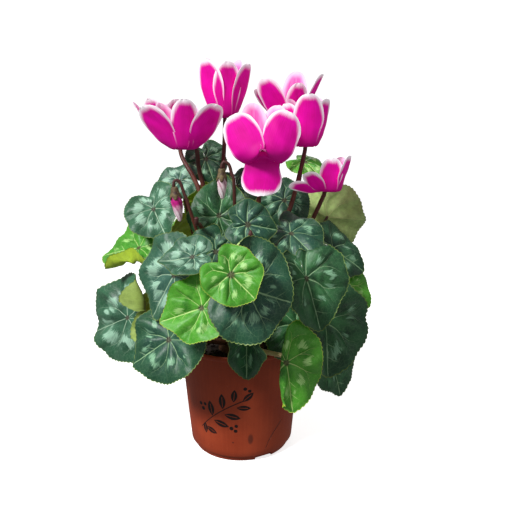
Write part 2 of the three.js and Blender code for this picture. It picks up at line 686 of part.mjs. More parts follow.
// A point of a petal: out of the tube, round the lip of the mouth and back up. "across" is -1 to 1.
function petalPoint([around, spread, length, width, twist], share, across) {
  const steps = 24;
  let radius = PETAL.root;
  let height = PETAL.rise;
  let heading = 0;
  for (let i = 0; i <= steps; i += 1) {
    const gone = (share * length * i) / steps;
    const settled = radians(spread + PETAL.bend * (gone / length));
    heading = settled + (radians(PETAL.dive) - settled) * Math.exp(-((gone / PETAL.turnLength) ** 2));
    const stride = i === steps ? 0 : (share * length) / steps;
    radius += stride * Math.sin(heading);
    height += stride * Math.cos(heading);
  }
  const half = (width * petalWidth(share)) / 2;
  const dip = half * PETAL.bowl * across ** 2;
  const swing = radians(twist) * share;
  const aside = half * across * Math.cos(swing) - dip * Math.sin(swing);
  const inward = half * across * Math.sin(swing) + dip * Math.cos(swing);
  const way = radians(around);
  const r = radius - inward * Math.cos(heading);
  const x = r * Math.cos(way) - aside * Math.sin(way);
  const y = r * Math.sin(way) + aside * Math.cos(way);
  return new THREE.Vector3(x, y, height + inward * Math.sin(heading));
}

function petalGeometry(petal) {
  const rows = [0, 4.6 / petal[2], 0.38, 0.7, 0.985];
  const points = [];
  const faces = [];
  rows.forEach((share, row) => {
    [-1, 0, 1].forEach((across, column) => {
      points.push(petalPoint(petal, share, across));
      if (row > 0 && column > 0) {
        const here = row * 3 + column;
        faces.push([here - 4, here - 3, here], [here - 4, here, here - 1]);
      }
    });
  });
  return thickened(points, faces, PETAL_THICKNESS);
}

function tubeGeometry() {
  const { mouth, top, length, wall, roof, sides } = TUBE;
  return turned([
    [0, length],
    [top, length - 0.8],
    [mouth + 0.3, 1],
    [mouth - wall, 0],
    [0, length - roof],
  ], sides);
}

function corollaGeometry(flower) {
  return fused([tubeGeometry(), ...flower.petals.map(petalGeometry)]);
}

// A cone of sepals on the end of a stem, "above" the piece that hangs from it.
function calyxGeometry(above, radius) {
  return turned([[0, above + GAP], [radius, above + GAP], [1.2, above + 3.4], [0, above + 3.4]], 6);
}

// ---------------------------------------------------------------------------------------------
// Buds and young shoots

const BUD = { petals: 5, sides: 10, ridge: 0.09, swirl: 0.05 };
const BUDS = [
  { name: 'bud_left', at: [-45, -46, 210], back: [-90, 8], length: 24, radius: 4.4, stem: [95, 8, 16] },
  { name: 'bud_middle', at: [-11.5, -50, 228], back: [0, 3], length: 20, radius: 3.8, stem: [90, 9, 16] },
];
const SHOOTS = [[-30.5, -61, 214], [10.7, -80, 204]];

// A hanging bud, tip down: five rolled petals twisted round each other.
function budGeometry({ length, radius }) {
  const profile = [
    [0, 0], [0.3, 0.04], [0.62, 0.22], [0.9, 0.45],
    [1, 0.68], [0.82, 0.88], [0.5, 1], [0, 1],
  ];
  const body = turned(profile.map(([share, height]) => [share * radius, height * length]), BUD.sides);
  const position = body.getAttribute('position');
  for (let i = 0; i < position.count; i += 1) {
    const corner = new THREE.Vector3().fromBufferAttribute(position, i);
    const bearing = Math.atan2(corner.y, corner.x);
    const ridge = 1 + BUD.ridge * Math.cos(BUD.petals * bearing);
    const swirl = corner.z * BUD.swirl;
    corner.multiply(new THREE.Vector3(ridge, ridge, 1)).applyAxisAngle(UP, swirl);
    position.setXYZ(i, corner.x, corner.y, corner.z);
  }
  return body;
}

// The stem of a flower or bud: up beside it, over in a crook, and down onto its top.
function flowerStemPath(flower, topHeight, taken) {
  const place = flowerPlace(flower);
  const [around, out, rise] = flower.stem;
  const way = radians(around);
  const side = new THREE.Vector3(Math.cos(way), Math.sin(way), 0);
  const beside = (far, height) => side.clone().multiplyScalar(far).setZ(height).applyMatrix4(place);
  const entry = beside(out, rise);
  const line = beside(0, 1).sub(beside(0, 0));
  const crown = new THREE.Vector3(0, 0, TUBER.top);
  const arrival = entry.clone().sub(crown).normalize().addScaledVector(line, 0.6).normalize();
  const bearing = THREE.MathUtils.radToDeg(Math.atan2(entry.x, -entry.y));
  const leaning = [0, 90, 180, 270].map((turn) => level(turn).setZ(3).normalize());
  const arrivals = [arrival, UP, ...leaning];
  const rising = route(entry, arrivals, bearing, taken, { steps: FLOWER_STEM.steps });
  const crook = new THREE.CatmullRomCurve3([
    entry,
    beside(out * 0.86, rise + (topHeight - rise) * 0.62),
    beside(out * 0.62, topHeight + HOOK_RISE * 0.75),
    beside(out * 0.22, topHeight + HOOK_RISE),
    beside(0, topHeight + HOOK_RISE * 0.7),
    beside(0, topHeight + 3),
  ]);
  return [...rising, ...crook.getPoints(FLOWER_STEM.crookSteps).slice(1)];
}

// ---------------------------------------------------------------------------------------------
// The whole plant

const potted = new THREE.Group();

function addPiece(name, geometry, color, roughness = 0.7) {
  const material = new THREE.MeshStandardMaterial({ color, roughness, metalness: 0 });
  const piece = new THREE.Mesh(closed(geometry), material);
  piece.name = name;
  potted.add(piece);
  return piece;
}

function plantGeometry(taken) {
  const parts = [tuberGeometry()];
  for (const leaf of LEAVES) {
    parts.push(stalk(leafStalkPath(leaf, taken), LEAF_STALK));
  }
  for (const [flower, top, radius] of [
    ...FLOWERS.map((flower) => [flower, TUBE.length, 4]),
    ...BUDS.map((bud) => [bud, bud.length, 3.2]),
  ]) {
    parts.push(stalk(flowerStemPath(flower, top, taken), FLOWER_STEM));
    parts.push(calyxGeometry(top, radius).applyMatrix4(flowerPlace(flower)));
  }
  for (const end of SHOOTS) {
    const tip = new THREE.Vector3(...end);
    const bearing = THREE.MathUtils.radToDeg(Math.atan2(tip.x, -tip.y));
    const arrivals = [level(bearing).setZ(1).normalize(), UP];
    parts.push(stalk(route(tip, arrivals, bearing, taken, { steps: SHOOT.steps }), SHOOT));
  }
  return fused(parts);
}

layOver(LEAVES);
const taken = takenSpace(LEAVES);

addPiece('pot', potGeometry(), 0xa8492c, 0.6);
addPiece('soil', soilGeometry(), 0x2a1d16, 0.95);
addPiece('tuber_and_stalks', plantGeometry(taken), 0x6b3a2a);

for (const leaf of LEAVES) {
  const piece = addPiece(leaf.name, bladeGeometry(leaf, BLADE_THICKNESS), TONES[leaf.tone], 0.5);
  piece.applyMatrix4(bladePlace(leaf));
}
for (const flower of FLOWERS) {
  addPiece(flower.name, corollaGeometry(flower), 0xe0128c, 0.55).applyMatrix4(flowerPlace(flower));
}
for (const bud of BUDS) {
  addPiece(bud.name, budGeometry(bud), 0xd46aa8, 0.55).applyMatrix4(flowerPlace(bud));
}

export default potted;
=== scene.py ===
"""A florist's cyclamen in flower, in its terracotta-coloured nursery pot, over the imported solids.

Work is in millimetres until a mesh is made, then in metres. +Z is up and the best side faces -Y.
"""

import math

import bpy
import numpy as np
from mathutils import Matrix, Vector
from mathutils.kdtree import KDTree


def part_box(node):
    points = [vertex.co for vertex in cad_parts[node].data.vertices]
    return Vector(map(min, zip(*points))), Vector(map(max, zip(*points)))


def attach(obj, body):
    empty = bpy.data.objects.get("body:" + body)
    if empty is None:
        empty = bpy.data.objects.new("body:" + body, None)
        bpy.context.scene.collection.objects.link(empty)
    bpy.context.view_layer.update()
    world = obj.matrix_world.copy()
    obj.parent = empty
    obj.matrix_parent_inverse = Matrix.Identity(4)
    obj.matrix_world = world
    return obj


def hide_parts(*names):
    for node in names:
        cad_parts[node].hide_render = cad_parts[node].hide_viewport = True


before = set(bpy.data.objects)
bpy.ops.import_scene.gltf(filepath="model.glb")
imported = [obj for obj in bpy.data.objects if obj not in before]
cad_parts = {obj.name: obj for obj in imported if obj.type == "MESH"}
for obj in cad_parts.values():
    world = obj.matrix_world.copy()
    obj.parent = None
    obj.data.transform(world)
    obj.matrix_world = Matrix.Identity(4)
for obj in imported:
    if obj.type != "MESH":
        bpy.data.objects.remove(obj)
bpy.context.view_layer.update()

MM = 0.001
PI = math.pi
UP = np.array([0.0, 0.0, 1.0])
radians = math.radians


# ------------------------------------------------------------------------------------------------
# Shader maths

class Flow:
    """A number, vector or colour on its way through a material. Its operators add their nodes."""

    def __init__(self, tree, socket=None):
        self.tree = tree
        self.socket = socket

    def node(self, kind, settings=None, values=None, result=0):
        """Adds a node: its settings, then its sockets' values or links. Hands back one result."""
        made = self.tree.nodes.new(kind)
        for name, setting in (settings or {}).items():
            setattr(made, name, setting)
        for name, value in (values or {}).items():
            if isinstance(value, Flow):
                self.tree.links.new(value.socket, made.inputs[name])
            else:
                made.inputs[name].default_value = value
        return Flow(self.tree, made.outputs[result])

    def math(self, operation, *values):
        return self.node("ShaderNodeMath", {"operation": operation}, dict(enumerate(values)))

    def __add__(self, other):
        return self.math("ADD", self, other)

    __radd__ = __add__

    def __sub__(self, other):
        return self.math("SUBTRACT", self, other)

    def __rsub__(self, other):
        return self.math("SUBTRACT", other, self)

    def __mul__(self, other):
        return self.math("MULTIPLY", self, other)

    __rmul__ = __mul__

    def __truediv__(self, other):
        return self.math("DIVIDE", self, other)

    def __rtruediv__(self, other):
        return self.math("DIVIDE", other, self)

    def __pow__(self, other):
        return self.math("POWER", self, other)

    def __abs__(self):
        return self.math("ABSOLUTE", self)

    def most(self, other):
        return self.math("MAXIMUM", self, other)

    def step(self, low, high, before, after):
        return self.node("ShaderNodeMapRange", {"interpolation_type": "SMOOTHSTEP"},
                         {0: self, 1: low, 2: high, 3: before, 4: after})

    def over(self, low, high):
        """0 below low and 1 above high, with a soft step between."""
        return self.step(low, high, 0.0, 1.0)

    def under(self, low, high):
        """1 below low and 0 above high, with a soft step between."""
        return self.step(low, high, 1.0, 0.0)

    def mix(self, first, second):
        """This share of the way from the first colour to the second."""
        return self.node("ShaderNodeMix", {"data_type": "RGBA"},
                         {0: self, 6: colour(first), 7: colour(second)}, 2)

    def attribute(self, name, result="Fac"):
        return self.node("ShaderNodeAttribute", {"attribute_name": name}, None, result)

    def place(self):
        """The piece's own coordinates, in metres."""
        return self.node("ShaderNodeTexCoord", None, None, "Object")

    def part(self, axis):
        """One number of a vector."""
        return self.node("ShaderNodeSeparateXYZ", None, {0: self}, axis)

    def joined(self, x, y, z):
        return self.node("ShaderNodeCombineXYZ", None, {0: x, 1: y, 2: z})

    def noise(self, where, scale, detail=2.0, roughness=0.5):
        return self.node("ShaderNodeTexNoise", None, {
            "Vector": where, "Scale": scale, "Detail": detail, "Roughness": roughness})

    def cells(self, where, scale, feature="F1"):
        return self.node("ShaderNodeTexVoronoi", {"feature": feature},
                         {"Vector": where, "Scale": scale})

    def chance(self, seed):
        """A number from 0 to 1 that is the same wherever the seed is."""
        return self.node("ShaderNodeTexWhiteNoise", {"noise_dimensions": "1D"}, {"W": seed})


def linear(value):
    """One channel of an sRGB colour, 0 to 255, as an amount of light."""
    share = value / 255
    return share / 12.92 if share < 0.04045 else ((share + 0.055) / 1.055) ** 2.4


def colour(value):
    """A colour as the shader wants it, from sRGB numbers of 0 to 255; a link passes through."""
    return value if isinstance(value, Flow) else tuple(linear(v) for v in value) + (1.0,)


def new_material(name):
    material = bpy.data.materials.new(name)
    material.use_nodes = True
    material.node_tree.nodes.clear()
    return Flow(material.node_tree)


def finish_of(name, base, roughness, bump=None, depth=0.0002, fixed=None):
    """Ends a material: its colour, roughness and relief, and what is the same all over it. One
    with an Emission Strength glows in its own colour; on the petals that glow is painted light,
    standing in for light through them."""
    tree = base.tree
    shader = tree.nodes.new("ShaderNodeBsdfPrincipled")
    tree.links.new(base.socket, shader.inputs["Base Color"])
    if "Emission Strength" in (fixed or {}):
        tree.links.new(base.socket, shader.inputs["Emission Color"])
    if isinstance(roughness, Flow):
        tree.links.new(roughness.socket, shader.inputs["Roughness"])
    else:
        shader.inputs["Roughness"].default_value = roughness
    for socket, value in (fixed or {}).items():
        shader.inputs[socket].default_value = value
    if bump is not None:
        relief = bump.node("ShaderNodeBump", None,
                           {"Strength": 1.0, "Distance": depth, "Height": bump})
        tree.links.new(relief.socket, shader.inputs["Normal"])
    output = tree.nodes.new("ShaderNodeOutputMaterial")
    tree.links.new(shader.outputs[0], output.inputs[0])
    return bpy.data.materials[name]


# ------------------------------------------------------------------------------------------------
# Meshes

SHARP_EDGE = 40                   # degrees between two faces, where a cut body's edge stays crisp


def placed(name, data):
    """A new object in the scene."""
    made = bpy.data.objects.new(name, data)
    bpy.context.scene.collection.objects.link(made)
    return made


def object_of(name, points, faces):
    """An object with a smooth mesh in metres, from points in millimetres."""
    mesh = bpy.data.meshes.new(name)
    mesh.from_pydata((np.asarray(points) * MM).tolist(), [], faces)
    mesh.update()
    mesh.polygons.foreach_set("use_smooth", [True] * len(mesh.polygons))
    return placed(name, mesh)


def piece(name, points, faces, material, replaces, slot, attributes=None):
    """A finished piece in place of a solid. Attributes hold a number or vector for each point."""
    made = object_of(name, points, faces)
    for key, values in (attributes or {}).items():
        values = np.asarray(values, np.float32)
        kind = "FLOAT_VECTOR" if values.ndim == 2 else "FLOAT"
        held = made.data.attributes.new(key, kind, "POINT")
        held.data.foreach_set("vector" if values.ndim == 2 else "value", values.ravel())
    made.data.materials.append(material)
    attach(made, "root")
    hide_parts(replaces)
    return made


def cut(made, cutters):
    """Cuts some bodies out of an object, and keeps its edges crisp."""
    for cutter in cutters:
        change = made.modifiers.new("cut", "BOOLEAN")
        change.operation = "DIFFERENCE"
        change.solver = "EXACT"
        change.object = cutter
    seen = made.evaluated_get(bpy.context.evaluated_depsgraph_get())
    mesh = bpy.data.meshes.new_from_object(seen)
    made.modifiers.clear()
    made.data = mesh
    for cutter in cutters:
        bpy.data.objects.remove(cutter)
    mesh.set_sharp_from_angle(angle=radians(SHARP_EDGE))


def normals_of(points, faces):
    """The way out of each point of an open surface of triangles and quads."""
    normals = np.zeros_like(points)
    for corners, (start, turn) in {3: (0, 1), 4: (1, 2)}.items():
        some = np.array([face for face in faces if len(face) == corners], int)
        if len(some):
            across = points[some[:, turn]] - points[some[:, 0]]
            other = points[some[:, -1]] - points[some[:, start]]
            face_normals = np.cross(across, other)
            for k in range(corners):
                np.add.at(normals, some[:, k], face_normals)
    return normals / np.maximum(np.linalg.norm(normals, axis=1, keepdims=True), 1e-12)


def twice(values):
    """The values of an open surface's points, for both sides of the sheet made from it."""
    return np.concatenate([values, values])


def sheet(points, faces, rim, up, down):
    """Both sides of an open surface, "up" and "down" from it, closed along its rim."""
    count = len(points)
    out = normals_of(points, faces)
    both = np.concatenate([points + out * up[:, None], points - out * down[:, None]])
    closed = list(faces) + [tuple(i + count for i in reversed(face)) for face in faces]
    for k, here in enumerate(rim):
        after = rim[(k + 1) % len(rim)]
        closed.append((after, here, here + count, after + count))
    return both, closed


def grid_faces(rows, columns, first=0):
    """Quads between rows of points, each row running the same way."""
    faces = []
    for row in range(rows - 1):
        for column in range(columns - 1):
            here = first + row * columns + column
            faces.append((here, here + columns, here + columns + 1, here + 1))
    return faces


def lathe(profile, sides):
    """A closed body turned about +Z from (radius, height) corners, from the axis to the axis."""
    turns = 2 * PI * np.arange(sides) / sides
    rings = [np.stack([radius * np.cos(turns), radius * np.sin(turns), np.full(sides, height)], -1)
             for radius, height in profile[1:-1]]
    low, high = profile[0][1], profile[-1][1]
    points = np.concatenate([[[0, 0, low]], *rings, [[0, 0, high]]])
    last = len(points) - 1
    faces = []
    for k in range(sides):
        after = (k + 1) % sides
        faces.append((0, 1 + after, 1 + k))
        faces.append((last, last - sides + k, last - sides + after))
        for ring in range(len(profile) - 3):
            a, b = 1 + ring * sides + k, 1 + ring * sides + after
            faces.append((a, b, b + sides, a + sides))
    return points, faces


def joined(parts):
    """Several (points, faces, value, ...) bodies as one."""
    faces, start = [], 0
    for part in parts:
        faces += [tuple(i + start for i in face) for face in part[1]]
        start += len(part[0])
    return (np.concatenate([part[0] for part in parts]), faces,
            *(np.concatenate([part[k] for part in parts]) for k in range(2, len(parts[0]))))


def smoothstep(value, low, high):
    """0 below low and 1 above high, with a soft step between."""
    share = np.clip((value - low) / (high - low), 0, 1)
    return share * share * (3 - 2 * share)


def level(bearing):
    """A level direction by its bearing: 0 towards the front, 90 to the right."""
    turn = radians(bearing)
    return np.array([math.sin(turn), -math.cos(turn), 0.0])


def wander(values, seed):
    """A smooth, seeded wave of about -1 to 1 along some values."""
    draw = np.random.default_rng(seed)
    waves = [(draw.uniform(0.6, 1.4) * k, draw.uniform(0, 2 * PI), 1 / k) for k in (1, 2, 3, 5)]
    total = sum(size * np.sin(pace * values + start) for pace, start, size in waves)
    return total / sum(size for _, _, size in waves)


# ------------------------------------------------------------------------------------------------
# Pot

POT_SIDES = 144
# (radius, height) corners of the foot, the lip and the floor; a straight wall runs between them
FOOT_CORNERS = [(0, 0), (20, 0), (36, 0), (42.4, 0), (43.2, 0.25), (43.5, 0.8), (43.75, 2.6),
                (44, 4.4), (44.4, 4.9), (46.2, 5.3), (46.6, 5.9)]
LIP_CORNERS = [(54.9, 95.9), (55.35, 96.5), (55.5, 97.4), (55.5, 98.9), (55.25, 99.6), (54.7, 100),
               (54.1, 99.9), (53.6, 99.5), (53.5, 98), (53.2, 95.8)]
FLOOR_CORNERS = [(44.6, 5.2), (42.9, 4.9), (42.3, 4), (42.1, 2.6), (41.2, 2), (20, 2), (0, 2)]
WALL_FLARE = 7.9                  # how much wider the wall is at the lip than at the foot
OUTER_WALL, INNER_WALL = 89.7, 90.1          # heights
LIP_DROOP = 0.0035                # unevenness of the thin lip, as a share of its radius
LIP_SAG = 0.25                    # how far it sags there
NOTCH_MIDDLE = 44.7               # radius at which the notches in the foot are cut
NOTCH_BEARINGS = (28, 148, 268)
NOTCH_HALF = (8, 4.5, 4.4)        # half a notch's width, depth and height
HOLE_COUNT, HOLE_RING, HOLE_RADIUS = 4, 27, 4.5          # drain holes in the floor

PRINT_SCALE = 1.2
PRINT_LEFT, PRINT_HEIGHT = 17, 44            # its middle: degrees left of the front, and height
PRINT_RADIUS = 50                 # of the wall there
INK = (34, 20, 18)
# leaves of the print: middle (along, up), turn, length and width
SPRIG = [(-15, -12, 92, 9, 4), (-9.5, -12.5, -22, 10, 4.4), (-8.5, 5.5, 98, 12, 5.2),
         (-1, -5.5, -18, 12, 5), (0.5, 12.5, 92, 12, 5), (7.5, 1, -12, 12, 5),
         (9, 17.5, 84, 10, 4.4), (15.5, 8, -4, 10, 4.2), (18.5, 16.5, 42, 10, 4.4)]
# berries of the print: middle and radius
BERRIES = [(-15.5, 3.5, 1.5), (-13.5, 7.5, 1.3), (-17.5, 7, 1.4), (6.5, -8.5, 1.5),
           (10, -6.5, 1.3), (9.5, -10.5, 1.4), (16.5, 23, 1.3), (19.5, 21.2, 1.2)]


def printed_leaf(u, v, x, y, turn, length, width):
    """1 inside a pointed leaf of the print, with a bare line along its middle."""
    c, s = math.cos(radians(turn)), math.sin(radians(turn))
    a = ((u - x) * c + (v - y) * s) / (length / 2)
    b = abs((v - y) * c - (u - x) * s) / (width / 2)
    return (b + a * a).under(0.93, 1.03) * b.over(0.04, 0.13).most(abs(a + 0.1).over(0.62, 0.7))


def disc(u, v, x, y, radius):
    """1 inside a round spot."""
    far = ((u - x) ** 2.0 + (v - y) ** 2.0) ** 0.5
    return far.under(radius - 0.15, radius + 0.15)


def print_mask(u, v):
    """1 where the leafy sprig is printed: its curved stem, its leaves and its berries."""
    stem = u * 0.72 + (1 - (u / 22) ** 2.0) * 5.0
    mask = (abs(v - stem) - 0.28).under(0.0, 0.3) * abs(u + 1.5).under(17.0, 17.6)
    for leaf_shape in SPRIG:
        mask = mask.most(printed_leaf(u, v, *leaf_shape))
    for berry in BERRIES:
        mask = mask.most(disc(u, v, *berry))
    return mask


def pot_material():
    """Terracotta-coloured plastic with a black leafy print, a little dust, and a soft crease: a
    dent in the relief, with painted shade along it.
    """
    flow = new_material("pot plastic")
    where = flow.place()
    x, y, z = (where.part(axis) for axis in range(3))
    bearing = flow.math("ARCTAN2", x, 0.0 - y) * (180 / PI)
    height = z * 1000
    print_on = print_mask((bearing + PRINT_LEFT) * (PI / 180 * PRINT_RADIUS / PRINT_SCALE),
                          (height - PRINT_HEIGHT) / PRINT_SCALE)
    cloud = flow.noise(where, 30.0, 3.0)
    fine = flow.noise(where, 700.0, 2.0)
    streaks = flow.noise(flow.joined(bearing * 0.4, height * 0.01, 1.0), 1.0, 3.0)
    clay = (cloud * 0.8 + streaks * 0.2).over(0.35, 0.65).mix((158, 60, 31), (176, 72, 40))
    clay = (fine.over(0.72, 0.78) * 0.35).mix(clay, (212, 150, 120))
    clay = (height.under(0.0, 8.0) * 0.3).mix(clay, (120, 52, 36))
    worn = flow.noise(where, 900.0, 3.0).over(0.68, 0.74) * 0.5
    outside = (x * x + y * y).over(0.0018, 0.0019)
    clay = (print_on * (1 - worn) * outside).mix(clay, INK)
    smudge = (((bearing - 11) / 3.2) ** 2.0 + ((height - 23) / 5.5) ** 2.0).under(0.2, 1.2)
    smudge = smudge * cloud.over(0.35, 0.6)
    clay = (smudge * 0.75).mix(clay, (84, 40, 30))
    spot = disc(bearing * 0.87, height, -6.0, 20.0, 0.8)
    clay = (spot * 0.7).mix(clay, (60, 30, 24))
    # painted shade: a dark line along the soft crease; the crease's dent itself is in the relief
    arch = ((bearing - 27) / 20).most(0.0) ** 0.55 * 29 + 5
    crease = abs(height - arch).under(0.2, 1.4)
    crease = crease * bearing.over(27.0, 29.0) * bearing.under(44.0, 49.0)
    clay = (crease * 0.6).mix(clay, (98, 42, 28))
    # painted shade: a dark line under the step at the foot, where the ledge overhangs
    step = abs(height - 5.0 - (cloud - 0.5) * 0.6).under(0.2, 0.8)
    clay = (step * 0.55).mix(clay, (92, 36, 22))
    grain = fine * 0.25 + cloud * 0.8 - crease * 2.4 + streaks * 0.1
    return finish_of("pot plastic", clay, 0.42 + cloud * 0.16 + fine * 0.06, grain, 0.0003,
                     {"Specular IOR Level": 0.3})


def wall(corner, flare, rise, steps):
    """Evenly spaced corners of a straight wall, on from a corner."""
    radius, height = corner
    return [(radius + flare * k / steps, height + rise * k / steps) for k in range(1, steps + 1)]


def notch_cutter(bearing):
    """The block that leaves a notch in the foot."""
    signs = (-1, 1)
    half = np.array(NOTCH_HALF)
    corners = np.array([(x, y, z) for x in signs for y in signs for z in signs]) * half
    out = level(bearing)
    turned = corners @ np.stack([np.cross(out, UP), out, UP]) + out * NOTCH_MIDDLE
    return object_of("cutter", turned, [(0, 1, 3, 2), (4, 6, 7, 5), (0, 4, 5, 1), (2, 3, 7, 6),
                                        (0, 2, 6, 4), (1, 5, 7, 3)])


def hole_cutter(bearing):
    """The drill that leaves a drain hole in the floor."""
    points, faces = lathe([(0, -6), (HOLE_RADIUS, -6), (HOLE_RADIUS, 6), (0, 6)], 32)
    return object_of("cutter", points + level(bearing) * HOLE_RING, faces)


def pot():
    """The thin moulded pot, with notches in its foot and holes in its floor."""
    profile = (FOOT_CORNERS + wall(FOOT_CORNERS[-1], WALL_FLARE, OUTER_WALL, 18)
               + LIP_CORNERS + wall(LIP_CORNERS[-1], -WALL_FLARE, -INNER_WALL, 12) + FLOOR_CORNERS)
    points, faces = lathe(profile, POT_SIDES)
    bearing = np.arctan2(points[:, 0], -points[:, 1])
    droop = wander(bearing * 2, 5) * smoothstep(points[:, 2], 80, 100)
    points[:, :2] *= (1 + LIP_DROOP * droop)[:, None]
    points[:, 2] -= LIP_SAG * np.abs(droop)
    made = piece("pot_moulding", points, faces, pot_material(), "pot", "pot")
    notches = [notch_cutter(bearing) for bearing in NOTCH_BEARINGS]
    holes = [hole_cutter(360 / HOLE_COUNT * (k + 0.5)) for k in range(HOLE_COUNT)]
    cut(made, notches + holes)


pot()


# ------------------------------------------------------------------------------------------------
# Soil and tuber

SOIL_TOP = 88
SOIL_SIDES = 96
SOIL_RADIUS = 47.4                # at its top
# (radius, height) corners of the soil's underside and side
SOIL_CORNERS = [(0, 2.4), (30, 2.4), (38.5, 2.4), (40.8, 6.4), (42.6, 20), (47.6, 75), (48.6, 86)]
CRUMB_COUNT, CRUMB_REACH = 230, 47           # loose crumbs on it, and how far out they lie
TUBER_RADIUS = 21
TUBER_MIDDLE = 86.2
TUBER_RISE = 12.8                 # half its height


def earth_material(name, dark, pale, flecks):
    """Something cloudy, rough and matt, with flecks in it."""
    flow = new_material(name)
    where = flow.place()
    cloud = flow.noise(where, 160.0, 4.0, 0.6)
    fine = flow.noise(where, 900.0, 3.0, 0.6)
    base = (cloud * 0.6 + fine * 0.4).over(0.3, 0.7).mix(dark, pale)
    base = (flow.cells(where, 420.0).under(0.1, 0.2) * 0.5).mix(base, flecks)
    return finish_of(name, base, 0.85 + fine * 0.1, cloud + fine * 0.6, 0.0012)


def lumpy(points, amount, pace, seed):
    """How far a smooth, seeded wave in space pushes each point out or in."""
    draw = np.random.default_rng(seed)
    total = np.zeros(len(points))
    for k in range(5):
        way = draw.normal(size=3)
        along = points @ (way / np.linalg.norm(way)) * pace * (1 + 0.5 * k)
        total += np.sin(along + draw.uniform(0, 6)) / (1 + k)
    return total * amount / 2


def crumb(middle, size, seed):
    """A crumb of bark or peat: a rough lump with flat sides."""
    points, faces = lathe([(0, -1), (0.8, -0.6), (1, 0.1), (0.7, 0.7), (0, 0.9)], 7)
    draw = np.random.default_rng(seed)
    points = points * draw.uniform(0.6, 1.3, 3) + draw.normal(0, 0.13, points.shape)
    turn = draw.uniform(0, 2 * PI)
    c, s = math.cos(turn), math.sin(turn)
    return points @ np.array([[c, s, 0], [-s, c, 0], [0, 0, 1]]) * size + middle, faces


def soil():
    """Potting soil with crumbs lying on it, hollow where the tuber sits."""
    top_rings = [(radius, SOIL_TOP) for radius in np.linspace(SOIL_RADIUS, 0.9, 34)]
    points, faces = lathe(SOIL_CORNERS + top_rings + [(0, 83)], SOIL_SIDES)
    top = points[:, 2] > SOIL_CORNERS[-1][1] + 0.5
    radius = np.hypot(points[:, 0], points[:, 1])
    rough = lumpy(points, 0.8, 0.45, 3) + lumpy(points, 0.45, 1.7, 4)
    hollow = 4 * (1 - smoothstep(radius, 8, 20))
    points[:, 2] += np.where(top, rough - hollow, 0)
    parts = [(points, faces)]
    draw = np.random.default_rng(11)
    for k in range(CRUMB_COUNT):
        far, turn = math.sqrt(draw.uniform(0.2, 0.95)) * CRUMB_REACH, draw.uniform(0, 2 * PI)
        size = draw.uniform(0.7, 2.0)
        middle = np.array([far * math.cos(turn), far * math.sin(turn), SOIL_TOP + size * 0.25])
        parts.append(crumb(middle, size, 100 + k))
    points, faces = joined(parts)
    peat = earth_material("peat and bark", (18, 12, 9), (52, 38, 28), (92, 70, 52))
    piece("potting_soil", points, faces, peat, "soil", "soil")


def tuber():
    """The corky, flattened tuber, half sunk in the soil."""
    turns = np.linspace(0, PI, 30)
    profile = [(TUBER_RADIUS * math.sin(t), -TUBER_RISE * math.cos(t)) for t in turns]
    profile[0], profile[-1] = (0, -TUBER_RISE), (0, TUBER_RISE)
    points, faces = lathe(profile, 60)
    out = points / np.maximum(np.linalg.norm(points, axis=1, keepdims=True), 1)
    points = points + out * (lumpy(points, 0.7, 0.35, 7) + lumpy(points, 0.25, 1.2, 8))[:, None]
    skin = earth_material("tuber skin", (70, 44, 32), (128, 88, 64), (52, 32, 24))
    piece("tuber", points + UP * TUBER_MIDDLE, faces, skin, "tuber_and_stalks", "stalk")


soil()
tuber()


# ------------------------------------------------------------------------------------------------
# Leaf blades: the solids' own form, made fine

# the solids' blades: (reach, gaps) of their rings of corners, their outline and their notch
PLAIN_RINGS = ((0.16, 6), (0.62, 12), (1, 22))
ROLLED_RINGS = ((0.16, 6), (0.5, 12), (0.8, 12), (1, 22))
BACK_RINGS = ((0.16, 6), (0.62, 10), (1, 18))
COARSE_TOOTH = 0.018
ROUND, POINT_WIDTH, CORNERS, LOBE_DIP, LOBE_WIDTH = 0.76, 0.36, 0.018, 0.4, 0.34
KEYHOLE, KEYHOLE_REACH, SLIT = 0.3, 0.14, 0.012
PLAIN_WAVE, PLAIN_CUP, PLAIN_FOLD = (0.2, 5, 0), -0.25, 0.12

# the fine blades
BLADE_THICKNESS = 0.5
BLADE_COLUMNS = 181
BLADE_ROWS = (0.03, 0.07, 0.13, 0.2, 0.28, 0.36, 0.44, 0.52, 0.6, 0.68, 0.76, 0.84, 0.9, 0.945,
              0.975, 1.0)
NOTCH_SHARE = 0.18                # how much of the solid's notch stays open in the fine blade
VEIN_SECTOR = PI / 7              # half the angle between two veins
# shares of a blade's size: its margin's uneven reach and its teeth, and how far it stands up in
# waves at the margin, in swells near the stalk and in quilting between the veins
FRILL, TOOTH, WAVE, SWELL, QUILT = 0.045, 0.013, 0.042, 0.012, 0.034
# a vein's width, its groove above and ridge below, and how the skin beside it puffs up
VEIN_WIDTH, VEIN_GROOVE, VEIN_RIDGE, PUCKER_RISE, PUCKER_HOLLOW = 0.7, 0.25, 0.35, 0.7, 0.6
PLAIN_SIZE = 35                   # of a blade whose veins have their plain width

